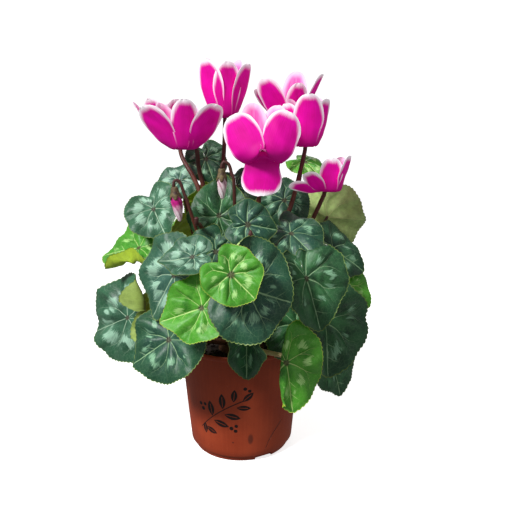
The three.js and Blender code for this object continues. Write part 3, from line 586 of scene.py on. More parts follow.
# name, tone, size, (bearing, height) of the face, tip, and what differs from a plain blade
LEAVES = [
    ("leaf_right_underside", "dark", 35, (165, 16), -88, dict(round=0.95, cup=0.1)),
    ("leaf_top_left", "dark", 25, (0, 20), 20, {}),
    ("leaf_top_middle", "dark", 28, (-5, 30), 10, {}),
    ("leaf_top_right", "dark", 25, (15, 62), 30, dict(cup=-0.5)),
    ("leaf_middle_right", "dark", 30, (5, 30), 25, {}),
    ("leaf_upper_left", "silver", 27, (-20, 42), -68, {}),
    ("leaf_upright", "dark", 34, (-8, 8), 172, dict(cup=-0.1)),
    ("leaf_left_folded", "silver", 33, (-22, 34), 37, dict(fold=0.4)),
    ("leaf_left_rolled", "young", 47, (-34, 46), -78,
     dict(round=0.66, rolls=[(92, 0.31, 3.5, 135)])),
    ("leaf_far_left", "silver", 56, (-36, 12), -66,
     dict(round=0.88, broad=0.76, rolls=[(180, 0.36, 3.5, 160)])),
    ("leaf_right_inner", "dark", 34, (8, 54), 34, dict(wave=(0.3, 5, 1))),
    ("leaf_right_broad", "dark", 36, (40, 38), 50, dict(wave=(0.3, 4, 0))),
    ("leaf_right_small", "young", 28, (24, 25), 45, {}),
    ("leaf_low_right", "dark", 36, (36, 22), 8, {}),
    ("leaf_shaded_right", "dark", 38, (14, 14), 8, {}),
    ("leaf_right_long", "dark", 48, (36, 12), 4, dict(round=0.78, cup=-0.3, fold=0.6)),
    ("leaf_middle_curled", "dark", 29, (-5, 12), -20, dict(rolls=[(165, 0.4, 3.5, 125)])),
    ("leaf_middle", "dark", 23, (8, 22), 80, dict(round=0.85)),
    ("leaf_low_left", "dark", 40, (-24, 26), -53, dict(round=0.82)),
    ("leaf_front_tongue", "dark", 34, (0, 6), 0, dict(round=0.6, broad=0.8, fold=1.2, cup=-0.2)),
    ("leaf_left_silver", "silver", 43, (-32, 12), -32,
     dict(round=0.78, rolls=[(80, 0.32, 3, -150)])),
    ("leaf_left_round", "silver", 27, (-16, 48), -76, dict(round=0.68, cup=0.1)),
    ("leaf_front_left", "young", 33, (-12, 22), -68, dict(cup=0.1)),
    ("leaf_front_kidney", "young", 41, (16, 6), 8, dict(round=0.63, rolls=[(-103, 0.1, 3, -150)])),
    ("leaf_front_right", "dark", 42, (30, 16), 15, dict(fold=0.5, rolls=[(172, 0.6, 3.4, 150)])),
    ("leaf_front_large", "dark", 31, (8, 20), 72,
     dict(round=0.95, broad=1.25, rolls=[(150, 0.7, 3.4, 130)])),
    ("leaf_front_young", "young", 23, (0, 22), 45, dict(round=0.88, cup=0.08)),
]
# name, count, bearings of the first and last, size, lift
BACK_ROWS = [
    ("low", 4, (112, 248), 46, 20),
    ("mid", 3, (146, 240), 44, 42),
    ("high", 2, (152, 212), 36, 38),
]
BACK_TONES = ("dark", "silver", "dark", "young")
FRESH = {"leaf_top_right": "young"}      # greener than its neighbours
# blades that open out more than their solids do
FULLER = {
    "leaf_front_tongue": dict(broad=1.25, fold=1.2),
    "leaf_front_right": dict(rolls=[(172, 0.47, 2.4, 165)]),
    "leaf_front_kidney": dict(round=0.82, broad=0.86, rolls=[(-103, 0.0, 2.6, -165)]),
}

for row, (part, count, (first, last), size, lift) in enumerate(BACK_ROWS):
    for i in range(count):
        odd = i % 2
        bearing = first + (last - first) * i / (count - 1)
        LEAVES.append((f"leaf_back_{part}_{i + 1}", BACK_TONES[(row + i) % 4], size - 5 * odd,
                       (bearing, lift + 6 * odd), 35 if odd else -30,
                       dict(wave=(0.25, 5, i + row), rings=BACK_RINGS)))


def outline(form, angle):
    """How far the margin is from the stalk at an angle from the tip, as a share of the size."""
    body = form.get("round", ROUND)
    off = np.abs(angle)
    point = (1 - body) * np.exp(-((off / POINT_WIDTH) ** 1.1))
    lobe = 1 - LOBE_DIP * np.exp(-(((PI - off) / LOBE_WIDTH) ** 1.5))
    return (body + point + CORNERS * np.cos(7 * angle)) * lobe


def notch(reach):
    """Half the angle left open by the notch at a reach."""
    return KEYHOLE * np.exp(-reach / KEYHOLE_REACH) + SLIT / np.maximum(reach, 0.1)


def blade_points(size, form, turn, reach, tooth=0.0, open_share=1.0):
    """Points of a blade's middle surface, lying face up with its stalk's end at the origin.

    "turn" runs from -1 to 1, from one side of the notch over the tip to the other side, and
    "reach" from 0 at the stalk to 1 at the margin. The points' angles from the tip come along."""
    amount, waves, phase = form.get("wave", PLAIN_WAVE)
    angle = turn * (PI - notch(reach) * open_share)
    length = size * outline(form, angle) * (1 + tooth)
    out = np.zeros_like(angle)
    up = np.zeros_like(angle)
    steps = 6
    for i in range(steps):
        gone = reach * (i + 0.5) / steps
        tilt = (form.get("cup", PLAIN_CUP) * gone
                + form.get("fold", PLAIN_FOLD) * np.abs(np.sin(angle))
                + amount * np.sin(waves * angle + phase) * gone ** 2)
        out += np.cos(tilt) * reach * length / steps
        up += np.sin(tilt) * reach * length / steps
    points = np.stack([out * np.cos(angle), out * np.sin(angle) * form.get("broad", 1), up], -1)
    for toward, start, radius, most in form.get("rolls", ()):
        points = rolled(points, size, radians(toward), start, radius, radians(most))
    return points, angle


def rolled(points, size, toward, start, radius, most):
    """Rolls the part of a blade past a line round a cylinder, up or down."""
    way = math.copysign(1, most)
    out = np.array([math.cos(toward), math.sin(toward), 0.0])
    past = points @ out - start * size
    turn = np.minimum(past / radius, abs(most))
    beyond = past - turn * radius
    lift = points[..., 2] * way
    along = (radius - lift) * np.sin(turn) + beyond * np.cos(turn)
    rise = (radius - (radius - lift) * np.cos(turn) + beyond * np.sin(turn)) * way
    moved = points + out * (along - past)[..., None]
    moved[..., 2] = rise
    return np.where((past > 0)[..., None], moved, points)


def blade_axes(face, tip):
    """A blade's own axes: towards its tip, towards its left side, and out of its upper face."""
    height = radians(face[1])
    outward = level(face[0])
    normal = outward * math.cos(height) + UP * math.sin(height)
    down = outward * math.sin(height) - UP * math.cos(height)
    right = np.cross(normal, down)
    spin = radians(tip)
    toward = down * math.cos(spin) + right * math.sin(spin)
    return np.stack([toward, np.cross(normal, toward), normal])


def apex_of(name, size, form, axes):
    """Where the blade meets its stalk, from the box round the solid's own few-cornered blade."""
    corners = [np.zeros((1, 3))]
    rings = form.get("rings", ROLLED_RINGS if "rolls" in form else PLAIN_RINGS)
    for reach, count in rings:
        turn = np.linspace(-1, 1, count + 1)
        tooth = COARSE_TOOTH * np.where(np.arange(count + 1) % 2, -1, 1) if reach == 1 else 0.0
        corners.append(blade_points(size, form, turn, np.full_like(turn, reach), tooth)[0])
    coarse = np.concatenate(corners) @ axes
    low, high = (np.array(corner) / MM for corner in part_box(name))
    return (low + high) / 2 - (coarse.min(0) + coarse.max(0)) / 2


def veins_of(number, angle, reach):
    """A bearing in which the main veins are evenly spread, and how far their forks have parted."""
    off = np.abs(angle)
    sway = 0.2 * wander(angle * 1.1, number + 200) * smoothstep(off, 0.1, 0.7)
    bearing = off + sway + 0.5 * (reach - 0.35) * np.sin(off) * smoothstep(off, 0.1, 0.6)
    bearing = bearing + 0.04 * wander(reach * 8 + 2 * angle, number + 300)
    vein = np.round(bearing / (2 * VEIN_SECTOR)) + 20 * (angle > 0)
    start = 0.48 + 0.1 * np.sin(vein * 2.3 + number)
    spread = 0.66 + 0.2 * np.sin(vein * 4.1 + number * 2)
    return bearing, np.where(bearing > VEIN_SECTOR, np.maximum(reach - start, 0) * spread, 0)


def blade_surface(number, name, size, form):
    """The fine blade's middle surface as a grid, with the angle and reach of its points."""
    turns, reaches = np.meshgrid(np.linspace(-1, 1, BLADE_COLUMNS), np.array(BLADE_ROWS))
    teeth = np.array([-1.0, 0.9, 0.3])[np.arange(BLADE_COLUMNS) % 3]
    frill = FRILL * wander(turns * 9, number + 40) * smoothstep(reaches, 0.5, 1)
    teeth = TOOTH * teeth[None, :] * smoothstep(reaches, 0.93, 1.0)
    form = form | FULLER.get(name, {})
    points, angle = blade_points(size, form, turns, reaches, teeth + frill, NOTCH_SHARE)
    wave = wander(turns * 11, number + 80)
    swell = wander(turns * 7 + reaches * 5, number + 120)
    between = np.cos(veins_of(number, angle, reaches)[0] * PI / VEIN_SECTOR)
    fading = 1 - 0.4 * smoothstep(reaches, 0.8, 1)
    points[..., 2] += WAVE * size * wave * smoothstep(reaches, 0.6, 1)
    points[..., 2] += SWELL * size * swell * smoothstep(reaches, 0.1, 0.5)
    points[..., 2] -= QUILT * size * between * smoothstep(reaches, 0.1, 0.6) * fading
    return points, angle, reaches


def leaf(number, name, tone, size, face, tip, form):
    """A leaf's blade: a closed sheet with veins, thin at its toothed margin."""
    axes = blade_axes(face, tip)
    apex = apex_of(name, size, form, axes)
    points, angle, reaches = blade_surface(number, name, size, form)
    rows, columns = reaches.shape
    points = np.concatenate([np.zeros((1, 3)), points.reshape(-1, 3)])
    reach = np.concatenate([[0.0], reaches.ravel()])
    angle = np.concatenate([[0.0], angle.ravel()])
    faces = [(0, 1 + k, 2 + k) for k in range(columns - 1)] + grid_faces(rows, columns, 1)
    left = [1 + row * columns for row in range(rows)]
    right = [row + columns - 1 for row in left]
    rim = [0] + left + list(range(left[-1] + 1, right[-1])) + right[::-1]
    bearing, fork = veins_of(number, angle, reach)
    near = np.abs((bearing + VEIN_SECTOR) % (2 * VEIN_SECTOR) - VEIN_SECTOR)
    off = np.abs(near - fork) * reach
    fading = smoothstep(reach, 0.02, 0.1) * (1 - smoothstep(reach, 0.8, 0.95))
    vein = np.exp(-(off * size / VEIN_WIDTH) ** 2) * fading
    puffed = smoothstep(reach, 0.1, 0.5) * (1 - smoothstep(reach, 0.85, 1))
    pucker = np.minimum(off / 0.1, 1) * puffed
    half = BLADE_THICKNESS / 2 * (1 - 0.5 * smoothstep(reach, 0.9, 1))
    up = half - VEIN_GROOVE * vein + PUCKER_RISE * pucker
    down = half + VEIN_RIDGE * vein * (1 - 0.5 * reach) - PUCKER_HOLLOW * pucker
    both, closed = sheet(points, faces, rim[::-1], up, down)
    luck = np.full_like(reach, number * 3.7)
    flat = np.stack([reach * np.cos(angle), reach * np.sin(angle), luck], -1)
    count = len(points)
    piece(name.replace("leaf", "blade"), both @ axes + apex, closed,
          LEAF_FINISH[FRESH.get(name, tone)], name, "leaf_" + tone,
          {"flat": twice(flat),
           "reach": twice(reach),
           "angle": twice(angle),
           "bearing": twice(bearing),
           "fork": twice(fork),
           "scale": np.full(2 * count, size / PLAIN_SIZE),
           "underside": np.concatenate([np.zeros(count), np.ones(count)])})


def leaf_material(name, deep, mid, cool, rim, marble, vein, margin, back, patch, spread):
    """A cyclamen blade: forked pale veins, a broken feathered ring of marbling, a pale margin.

    The ground runs from deep to mid, cool on some leaves, and to rim farther out. "patch" is how
    much of the ring is there, and "spread" how broad it is."""
    flow = new_material(name)
    reach = flow.attribute("reach")
    angle = flow.attribute("angle")
    scale = flow.attribute("scale")
    flat = flow.attribute("flat", "Vector")
    seed = flat.part(2)
    luck = flow.chance(seed)
    broad = flow.noise(flat, 2.2, 2.0)
    fine = flow.noise(flat, 9.0, 4.0, 0.6)

    bearing = flow.attribute("bearing") + (fine - 0.5) * 0.07
    near = bearing.math("PINGPONG", bearing, VEIN_SECTOR)
    off = abs(near - flow.attribute("fork")) * reach * scale
    half = reach.under(0.0, 0.8) * 0.012 + 0.005
    veins = (off / half).under(0.45, 1.25) * reach.under(0.6, 0.93)
    midrib = abs(angle + (fine - 0.5) * 0.03) * reach * scale
    rib = midrib.under(0.006, 0.017) * reach.under(0.9, 1.0) * abs(angle).under(1.0, 1.3)
    veins = veins.most(rib)
    for start, lean in ((0.36, 0.7), (0.6, 0.78)):
        past = reach - start
        twig = abs(midrib / scale - past * lean).under(0.002, 0.01)
        twig = twig * past.over(0.0, 0.01) * past.under(0.1, 0.24) * abs(angle).under(0.45, 0.55)
        veins = veins.most(twig * 0.7)
    net = flow.cells(flat, 12.0, "DISTANCE_TO_EDGE").under(0.01, 0.05) * reach.over(0.1, 0.3)

    comb = flow.noise(flow.joined(angle * 11.0, reach * 1.2, seed), 2.4, 4.0, 0.7)
    slow = flow.noise(flow.joined(angle * 1.3, seed, 2.0), 1.8, 1.0)
    teeth = flow.noise(flow.joined(angle * 30.0, reach * 2.0, seed), 2.4, 2.0)
    ring = reach + (comb - 0.5) * 0.42 + (slow - 0.5) * 0.34 + (teeth - 0.5) * 0.26
    gaps = flow.noise(flow.joined(angle * 2.0, seed, reach * 1.6), 1.25, 1.0)
    lobes = near / VEIN_SECTOR
    wanted = 0.53 - patch - luck * 0.05
    outer = 0.62 + spread * 0.6
    marks = ring.over(0.5 - spread, 0.53 - spread) * ring.under(outer, outer + 0.03)
    marks = marks * (gaps - wanted).over(0.0, 0.04) * (lobes.over(0.12, 0.4) * 0.8 + 0.2)
    marks = marks * (teeth.over(0.36, 0.5) * 0.5 + 0.5)
    specks = flow.noise(flow.joined(angle * 24.0, reach * 4.0, seed), 2.0, 3.0, 0.7)
    outer_band = reach.over(0.62, 0.8) * reach.under(0.9, 0.96)
    marks = marks.most(specks.over(0.64, 0.72) * outer_band * (0.3 + spread))

    ground = (broad * 0.65 + fine * 0.35).over(0.34, 0.64).mix(deep, mid)
    ground = (luck.over(0.3, 0.8) * 0.75).mix(ground, cool)
    ground = (reach.over(0.55, 0.85) * 0.6).mix(ground, rim)
    top = (net * 0.12).mix((marks * 0.85).mix(ground, marble), vein)
    top = (veins * 0.85).mix(top, vein)
    edge = (reach + (fine - 0.5) * 0.02).over(0.976, 0.994)
    top = (edge * 0.7).mix(top, margin)
    throat = (reach * scale).under(0.05, 0.12)
    top = (throat * 0.85).mix(top, (54, 28, 20))

    below = (broad * 0.5 + fine * 0.5).over(0.35, 0.65).mix(back, tuple(v * 1.16 for v in back))
    below = (veins * 0.5 + net * 0.2).mix(below, tuple(min(v * 1.3 + 16, 255) for v in back))
    side = flow.attribute("underside")
    base = side.over(0.4, 0.6).mix(top, below)

    grain = flow.cells(flat, 70.0) * 0.2 + fine * 0.5 - veins * 0.6
    gloss = 0.33 + fine * 0.14 + side * 0.2
    return finish_of(name, base, gloss, grain, 0.0004, {"Specular IOR Level": 0.4})


LEAF_FINISH = {
    "dark": leaf_material(
        "mature blade", deep=(26, 62, 36), mid=(66, 124, 74), cool=(42, 84, 76), rim=(34, 80, 48),
        marble=(152, 204, 164), vein=(160, 200, 150), margin=(150, 172, 84), back=(176, 202, 126),
        patch=0.0, spread=0.03),
    "silver": leaf_material(
        "silvered blade", deep=(42, 84, 60), mid=(78, 132, 100), cool=(62, 104, 92),
        rim=(42, 92, 60), marble=(176, 220, 192), vein=(184, 216, 184), margin=(150, 172, 92),
        back=(134, 156, 76), patch=0.12, spread=0.1),
    "young": leaf_material(
        "young blade", deep=(50, 128, 32), mid=(100, 184, 58), cool=(64, 144, 40),
        rim=(84, 168, 44), marble=(186, 234, 144), vein=(206, 240, 146), margin=(206, 214, 90),
        back=(158, 184, 52), patch=0.03, spread=0.04),
}

for number, (name, tone, size, face, tip, form) in enumerate(LEAVES):
    leaf(number, name, tone, size, face, tip, form)


# ------------------------------------------------------------------------------------------------
# Flowers: five petals turned back from a short tube

PETAL_THICKNESS = 0.45
PETAL_ROOT = 5.4                  # radius inside the tube where a petal starts
PETAL_RISE = 2.6                  # height of that start over the mouth
PETAL_DIVE = 168                  # degrees from straight up in which it sets out
PETAL_TURN_LENGTH = 3.6           # the way in which it turns back
PETAL_BEND = 9                    # degrees that it leans out from there to its tip
PETAL_CLAW = 0.56                 # share of its width that it has at the fold
WIDE_CLAWS = {"flower_front": (0.85, 0.85, 0.56, 0.56, 0.85)}
PETAL_WIDEST = 0.6
PETAL_BOWL = 0.2
PETAL_COLUMNS, PETAL_ROWS = 21, 34
PETAL_RIB, PETAL_BILLOW = 0.10, 0.55         # how far its skin stands up in ribs and billows
TUBE_MOUTH, TUBE_TOP, TUBE_LENGTH, TUBE_WALL, TUBE_ROOF = 6.2, 4.2, 9, 1.0, 2.4

# name, middle of the mouth, (bearing, tilt) of the line up the tube, (around, out, rise) of the
# stem, and the petals, each (around, spread, length, width, twist)
FLOWERS = [
    ("flower_left", (-43, -28, 265), (0, 0), (120, 11.5, -3),
     [(-58, 31, 46, 24, 30), (14, 8, 44, 21, 0), (70, 28, 46, 24, -30), (172, 11, 44, 20, 0),
      (-126, 19, 46, 21, 0)]),
    ("flower_left_behind", (-63, 6, 275), (-90, 4), (106, 11.5, -3),
     [(-90, 22, 40, 19, 0), (-20, 14, 38, 19, 0), (52, 12, 36, 18, 0), (162, 14, 36, 18, 0),
      (-152, 18, 40, 19, 0)]),
    ("flower_top", (-12, 8, 291), (0, 0), (186, 11.5, -3),
     [(-56, 8, 52, 25, 20), (14, 2, 49, 23, 0), (76, 11, 50, 22, -14), (134, 3, 54, 20, 0),
      (-122, 5, 55, 20, 0)]),
    ("flower_front", (20, -56, 257), (180, 24), (180, 12, 4),
     [(-68, 21, 42, 28, 50), (64, 15, 43, 28, -50), (-118, -5, 55, 21, -50), (118, -1, 54, 20, 50),
      (186, 155, 26.5, 31, 0)]),
    ("flower_right", (54.5, -20, 267), (0, 0), (180, 11.5, -3),
     [(4, 3, 46, 24, 0), (72, 7, 43, 21, -20), (128, 2, 44, 19, 0), (-128, 6, 44, 19, 0),
      (-70, 10, 40, 19, 30)]),
    ("flower_right_behind", (44, 15, 287), (0, 0), (216, 11.5, -3),
     [(-56, 26, 46, 21, 36), (-104, 36, 42, 18, 40), (164, 8, 51, 22, 0), (100, 20, 50, 22, -20),
      (16, 14, 38, 18, 0)]),
    ("flower_half_open", (75, -16, 231), (60, 3), (195, 11.5, -3),
     [(62, 7, 36, 18, 0), (-6, 2, 33, 18, 0), (134, 2, 33, 16, 0), (-52, 44, 30, 15, 30),
      (-80, 74, 32, 15, 40)]),
]


def flower_axes(back):
    """A flower's own axes: to its front, to its right, and up the line of its tube."""
    line = level(back[0]) * math.sin(radians(back[1])) + UP * math.cos(radians(back[1]))
    front = level(0) - line * (level(0) @ line)
    front /= np.linalg.norm(front)
    return np.stack([front, np.cross(line, front), line])


def hung(points, at, back):
    """Points of a flower or bud, brought to its place on the plant."""
    return points @ flower_axes(back) + np.array(at)


def petal_width(share, claw):
    """A petal's width on the way to its tip, as a share of its widest."""
    opening = smoothstep(share, 0.05, PETAL_WIDEST)
    closing = np.maximum(share - PETAL_WIDEST, 0) / (1 - PETAL_WIDEST)
    return (claw + (1 - claw) * opening) * np.sqrt(np.maximum(1 - closing ** 2.4, 0))


def petal_points(petal, share, across, claw):
    """Points of a petal, out of the tube, round the mouth and back up, and its half width there."""
    around, spread, length, width, twist = petal
    radius = np.full_like(share, PETAL_ROOT)
    height = np.full_like(share, PETAL_RISE)
    steps = 24
    for i in range(steps + 1):
        gone = share * length * i / steps
        settled = radians(spread) + radians(PETAL_BEND) * gone / length
        turning = np.exp(-((gone / PETAL_TURN_LENGTH) ** 2))
        heading = settled + (radians(PETAL_DIVE) - settled) * turning
        if i < steps:
            radius += share * length / steps * np.sin(heading)
            height += share * length / steps * np.cos(heading)
    half = width * petal_width(share, claw) / 2
    dip = half * PETAL_BOWL * across ** 2
    swing = np.radians(twist) * smoothstep(share, 0, 0.35)
    aside = half * across * np.cos(swing) - dip * np.sin(swing)
    inward = half * across * np.sin(swing) + dip * np.cos(swing)
    c, s = math.cos(radians(around)), math.sin(radians(around))
    out = radius - inward * np.cos(heading)
    rise = height + inward * np.sin(heading)
    return np.stack([out * c - aside * s, out * s + aside * c, rise], -1), half


def petal_mesh(petal, claw, seed):
    """One petal, closed, with what its material needs to know of each point."""
    length = petal[2]
    columns, rows = PETAL_COLUMNS, PETAL_ROWS
    across = np.sin(np.linspace(-PI / 2, PI / 2, columns))
    share = (1 - (1 - np.linspace(0, 1, rows)) ** 1.35) * 0.996
    acrosses, shares = np.meshgrid(across, share)
    at_edge = smoothstep(np.abs(acrosses), 0.6, 1) * smoothstep(shares, 0.2, 0.6)
    ruffle = wander(shares * 7 + seed, seed) * at_edge
    points, half = petal_points(petal, shares, acrosses * (1 + 0.03 * ruffle), claw)
    faces = grid_faces(rows, columns)
    flat = points.reshape(-1, 3)
    ribbed = smoothstep(shares, 0.1, 0.3) * (1 - smoothstep(shares, 0.75, 0.95))
    rib = PETAL_RIB * np.cos(acrosses * 9) * ribbed
    billow = wander(shares * 6 + acrosses * 2.5, seed + 9) * smoothstep(shares, 0.25, 0.6)
    lift = rib + PETAL_BILLOW * billow
    flat = flat + normals_of(flat, faces) * lift.reshape(-1, 1)
    edge = np.minimum((1 - np.abs(acrosses)) * half, (1 - shares) * length * 0.8)
    thick = PETAL_THICKNESS / 2 * (1 - 0.45 * (1 - smoothstep(edge, 0, 1.5))).ravel()
    corners = np.arange(rows * columns).reshape(rows, columns)
    rim = [*corners[0], *corners[1:, -1], *corners[-1, -2::-1], *corners[-2:0:-1, 0]]
    both, closed = sheet(flat, faces, [int(corner) for corner in rim], thick, thick)
    side = np.concatenate([np.ones(len(flat)), np.zeros(len(flat))])
    return both, closed, *(twice(values.ravel()) for values in (edge, shares, acrosses)), side


def petal_material():
    """Strong magenta with a soft white margin, paler and streaked inside."""
    flow = new_material("petal, picotee")
    margin = flow.attribute("margin")
    share = flow.attribute("share")
    across = flow.attribute("across")
    inner = flow.attribute("inner").over(0.4, 0.6)
    where = flow.place()
    streaks = flow.noise(flow.joined(across * 14.0, share * 1.4, inner * 3.0), 1.5, 4.0, 0.6)
    cloud = flow.noise(where, 90.0, 2.0)
    frayed = margin + (streaks - 0.5) * (2.2 + share.over(0.5, 1.0) * 2.5)
    wide = 0.85 + share.over(0.4, 1.0) * 2.3 + inner * 0.9
    pale = (frayed / wide).under(0.1, 1.7)
    deep = (streaks * 0.5 + cloud * 0.5).over(0.3, 0.7).mix((206, 0, 134), (230, 0, 166))
    deep = share.under(0.05, 0.5).mix(deep, (168, 0, 112))
    inside = (streaks.over(0.35, 0.65) * 0.6).mix((232, 70, 168), (242, 150, 206))
    middle = abs(across).under(0.1, 0.45) * share.under(0.4, 0.95)
    inside = (middle * 0.85).mix(inside, (206, 6, 130))
    body = inner.mix(deep, inside)
    white = (share.over(0.2, 0.8) * (1 - inner * 0.6)).mix((242, 172, 218), (255, 246, 253))
    base = (pale * share.over(0.12, 0.5)).mix(body, white)
    relief = streaks * 0.8 + cloud * 0.2
    # painted light: an Emission Strength of 0.25 makes the petals glow in their own colour
    return finish_of("petal, picotee", base, 0.55 + streaks * 0.12, relief, 0.0002,
                     {"Specular IOR Level": 0.2, "Emission Strength": 0.25})


PETAL_FINISH = petal_material()


def tube_mesh(lobed_from):
    """The short tube that the petals come out of, a little lobed under each of them."""
    mouth, top, length = TUBE_MOUTH, TUBE_TOP, TUBE_LENGTH
    points, faces = lathe(
        [(0, length), (top * 0.6, length - 0.15), (top, length - 0.9), (mouth - 0.3, 3.4),
         (mouth + 0.3, 1), (mouth - TUBE_WALL / 2, 0), (mouth - TUBE_WALL, 0.3),
         (mouth - TUBE_WALL - 0.6, 2.6), (top - 1.2, length - TUBE_ROOF - 1),
         (0, length - TUBE_ROOF)], 30)
    turn = np.arctan2(points[:, 1], points[:, 0])
    points[:, :2] *= (1 + 0.05 * np.cos(5 * (turn - radians(lobed_from))))[:, None]
    margin, share, across, inner = 9.0, 0.06, 0.9, 0.0
    return points, faces, *(np.full(len(points), value) for value in (margin, share, across, inner))


def flower(number, name, at, back, petals):
    """A flower's five petals and their tube, as one piece."""
    claws = WIDE_CLAWS.get(name, [PETAL_CLAW] * len(petals))
    parts = [petal_mesh(petal, claws[k], number * 7 + k) for k, petal in enumerate(petals)]
    points, faces, margin, share, across, inner = joined(parts + [tube_mesh(petals[0][0])])
    piece(name.replace("flower", "petals"), hung(points, at, back), faces, PETAL_FINISH, name,
          "petal", {"margin": margin, "share": share, "across": across, "inner": inner})


for number, (name, at, back, _, petals) in enumerate(FLOWERS):
    flower(number, name, at, back, petals)


# ------------------------------------------------------------------------------------------------
# Buds: five petals rolled and twisted round each other

# name, tip, (bearing, tilt) of the line up the bud, (around, out, rise) of the stem, length, radius
BUDS = [
    ("bud_left", (-45, -46, 210), (-90, 8), (95, 8, 16), 24, 4.4),
    ("bud_middle", (-11.5, -50, 228), (0, 3), (90, 9, 16), 20, 3.8),
]
BUD_SIDES, BUD_RINGS = 60, 44
BUD_TWIST = 2.6                   # radians, from its top to its tip
# (radius, height), as shares of a bud's own
BUD_PROFILE = ((0, 0), (0.3, 0.04), (0.62, 0.22), (0.9, 0.45), (1, 0.68), (0.82, 0.88), (0.5, 1))


def bud_radius(height):
    """A bud's radius at a height, both as shares of its own."""
    return np.interp(height, [h for _, h in BUD_PROFILE], [r for r, _ in BUD_PROFILE])


def bud_material(name, low, high, cap):
    """Rolled petals, pale at the tip, with painted shade in the grooves between them; "cap" is the
    colour under the sepals.
    """
    flow = new_material(name)
    share = flow.attribute("share")
    fold = flow.attribute("fold")
    where = flow.place()
    fine = flow.noise(where, 500.0, 3.0)
    base = (share + (fine - 0.5) * 0.3).over(0.3, 0.62).mix(low, high)
    base = share.over(0.72, 0.95).mix(base, cap)
    # painted shade: darker in the grooves between the rolled petals
    base = (fold.under(0.2, 0.75) * 0.55).mix(base, (150, 40, 96))
    return finish_of(name, base, 0.5 + fine * 0.1, fine, 0.00015, {"Specular IOR Level": 0.35})


BUD_FINISH = {
    "bud_left": bud_material("bud, magenta", (250, 226, 236), (206, 30, 140), (150, 96, 84)),
    "bud_middle": bud_material("bud, pale", (250, 238, 240), (238, 206, 216), (150, 140, 100)),
}


def bud(name, at, back, length, radius):
    """Petals rolled into a pointed bud, with their twisted folds as grooves."""
    heights = np.linspace(0.004, 0.985, BUD_RINGS)
    rings = [(bud_radius(height) * radius, height * length) for height in heights]
    points, faces = lathe([(0, 0), *rings, (0, length)], BUD_SIDES)
    share = points[:, 2] / length
    turn = np.arctan2(points[:, 1], points[:, 0]) - BUD_TWIST * (1 - share) ** 1.3
    fold = np.abs(np.sin(2.5 * turn))
    full = 0.86 + 0.17 * fold ** 0.6 + 0.04 * np.sin(10 * turn) * (1 - share)
    points[:, :2] *= full[:, None]
    piece(name + "_petals", hung(points, at, back), faces, BUD_FINISH[name], name, "bud",
          {"share": share, "fold": fold})


for name, at, back, _, length, radius in BUDS:
    bud(name, at, back, length, radius)


# ------------------------------------------------------------------------------------------------
# Stalks and stems, along the solids' own lines

CROWN_RADIUS, CROWN_HEIGHT = 10, 94          # where stalks and stems spring from the tuber
# radius at the root and at the end, and how many steps the solid takes between them
STALK_ROOT, STALK_END, STALK_STEPS = 1.6, 1.15, 5
STEM_ROOT, STEM_END, STEM_STEPS, CROOK_STEPS = 1.9, 1.3, 6, 6
SHOOT_ROOT, SHOOT_END, SHOOT_STEPS = 1.8, 1.6, 6
BELOW_BLADE = 0.35 + 0.3 + STALK_END         # from a blade's middle down to its solid stalk's end
INTO_BLADE = 1.5                  # how far the fine stalk goes on from there, into its blade
HOOK_RISE = 8.5                   # of a stem's crook over the top of its flower
STALK_SIDES, STALK_POINTS = 10, 40
STEM_SIDES, STEM_POINTS = 12, 90
# the fine stem's thickness against its few-sided solid's, for a flower and for a bud
STEM_FULL, BUD_STEM_FULL = 1.28, 0.95
STOUT = {"leaf_front_kidney": 1.35}          # a leaf whose pale stalk is thicker than the rest
# tip of the solid's shoot, and how much farther the fine one reaches
SHOOTS = [((-30.5, -61, 214), 2), ((10.7, -80, 204), 5)]
SHOOT_TIP = (1.15, 1.1, 0.85, 0.4)           # its last radii, as shares of SHOOT_END

# how a stalk leaves the crown and bends: its lean, and how far it holds to each end's direction
BENDS = [
    (35, 0.35, 0.3), (12, 0.5, 0.3), (60, 0.3, 0.3), (15, 0.8, 0.45), (70, 0.7, 0.4), (8, 1, 0.2),
    (75, 0.4, 0.15), (25, 0.6, 0.1), (20, 0.7, 0.2), (5, 0.9, 0.35), (50, 0.6, 0.2), (30, 1, 0.3),
    (12, 1.1, 0.1), (40, 0.8, 0.6), (20, 0.4, 0.6), (80, 0.9, 0.2), (60, 1, 0.5),
]
ASIDES = (0, 25, -25, 50, -50, 80, -80, 120, -120)
# how it comes up to its blade: off the line of the face, and turned from behind the tip
ARRIVALS = [
    (35, 0), (15, 0), (40, 50), (40, -50), (60, 0), (55, 90), (55, -90), (72, 0), (72, 60),
    (72, -60), (72, 110), (72, -110), (50, 180), (80, 30), (80, -30), (84, 0), (80, 90),
    (80, -90), (30, 180), (25, 90), (25, -90), (0, 0), (60, 30), (60, -30), (75, 180),
]

solid_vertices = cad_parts["tuber_and_stalks"].data.vertices
solid_corners = KDTree(len(solid_vertices))
for vertex in solid_vertices:
    solid_corners.insert(vertex.co / MM, vertex.index)
solid_corners.balance()


def unit(vector):
    return vector / np.linalg.norm(vector)


def bezier(controls, shares):
    """Points at some shares of the way along cubic curves, each given by four control points."""
    t = np.asarray(shares)[:, None]
    a, b, c, d = (controls[..., k, None, :] for k in range(4))
    return a * (1 - t) ** 3 + b * 3 * t * (1 - t) ** 2 + c * 3 * t * t * (1 - t) + d * t ** 3


def bearing_of(point):
    return math.degrees(math.atan2(point[0], -point[1]))


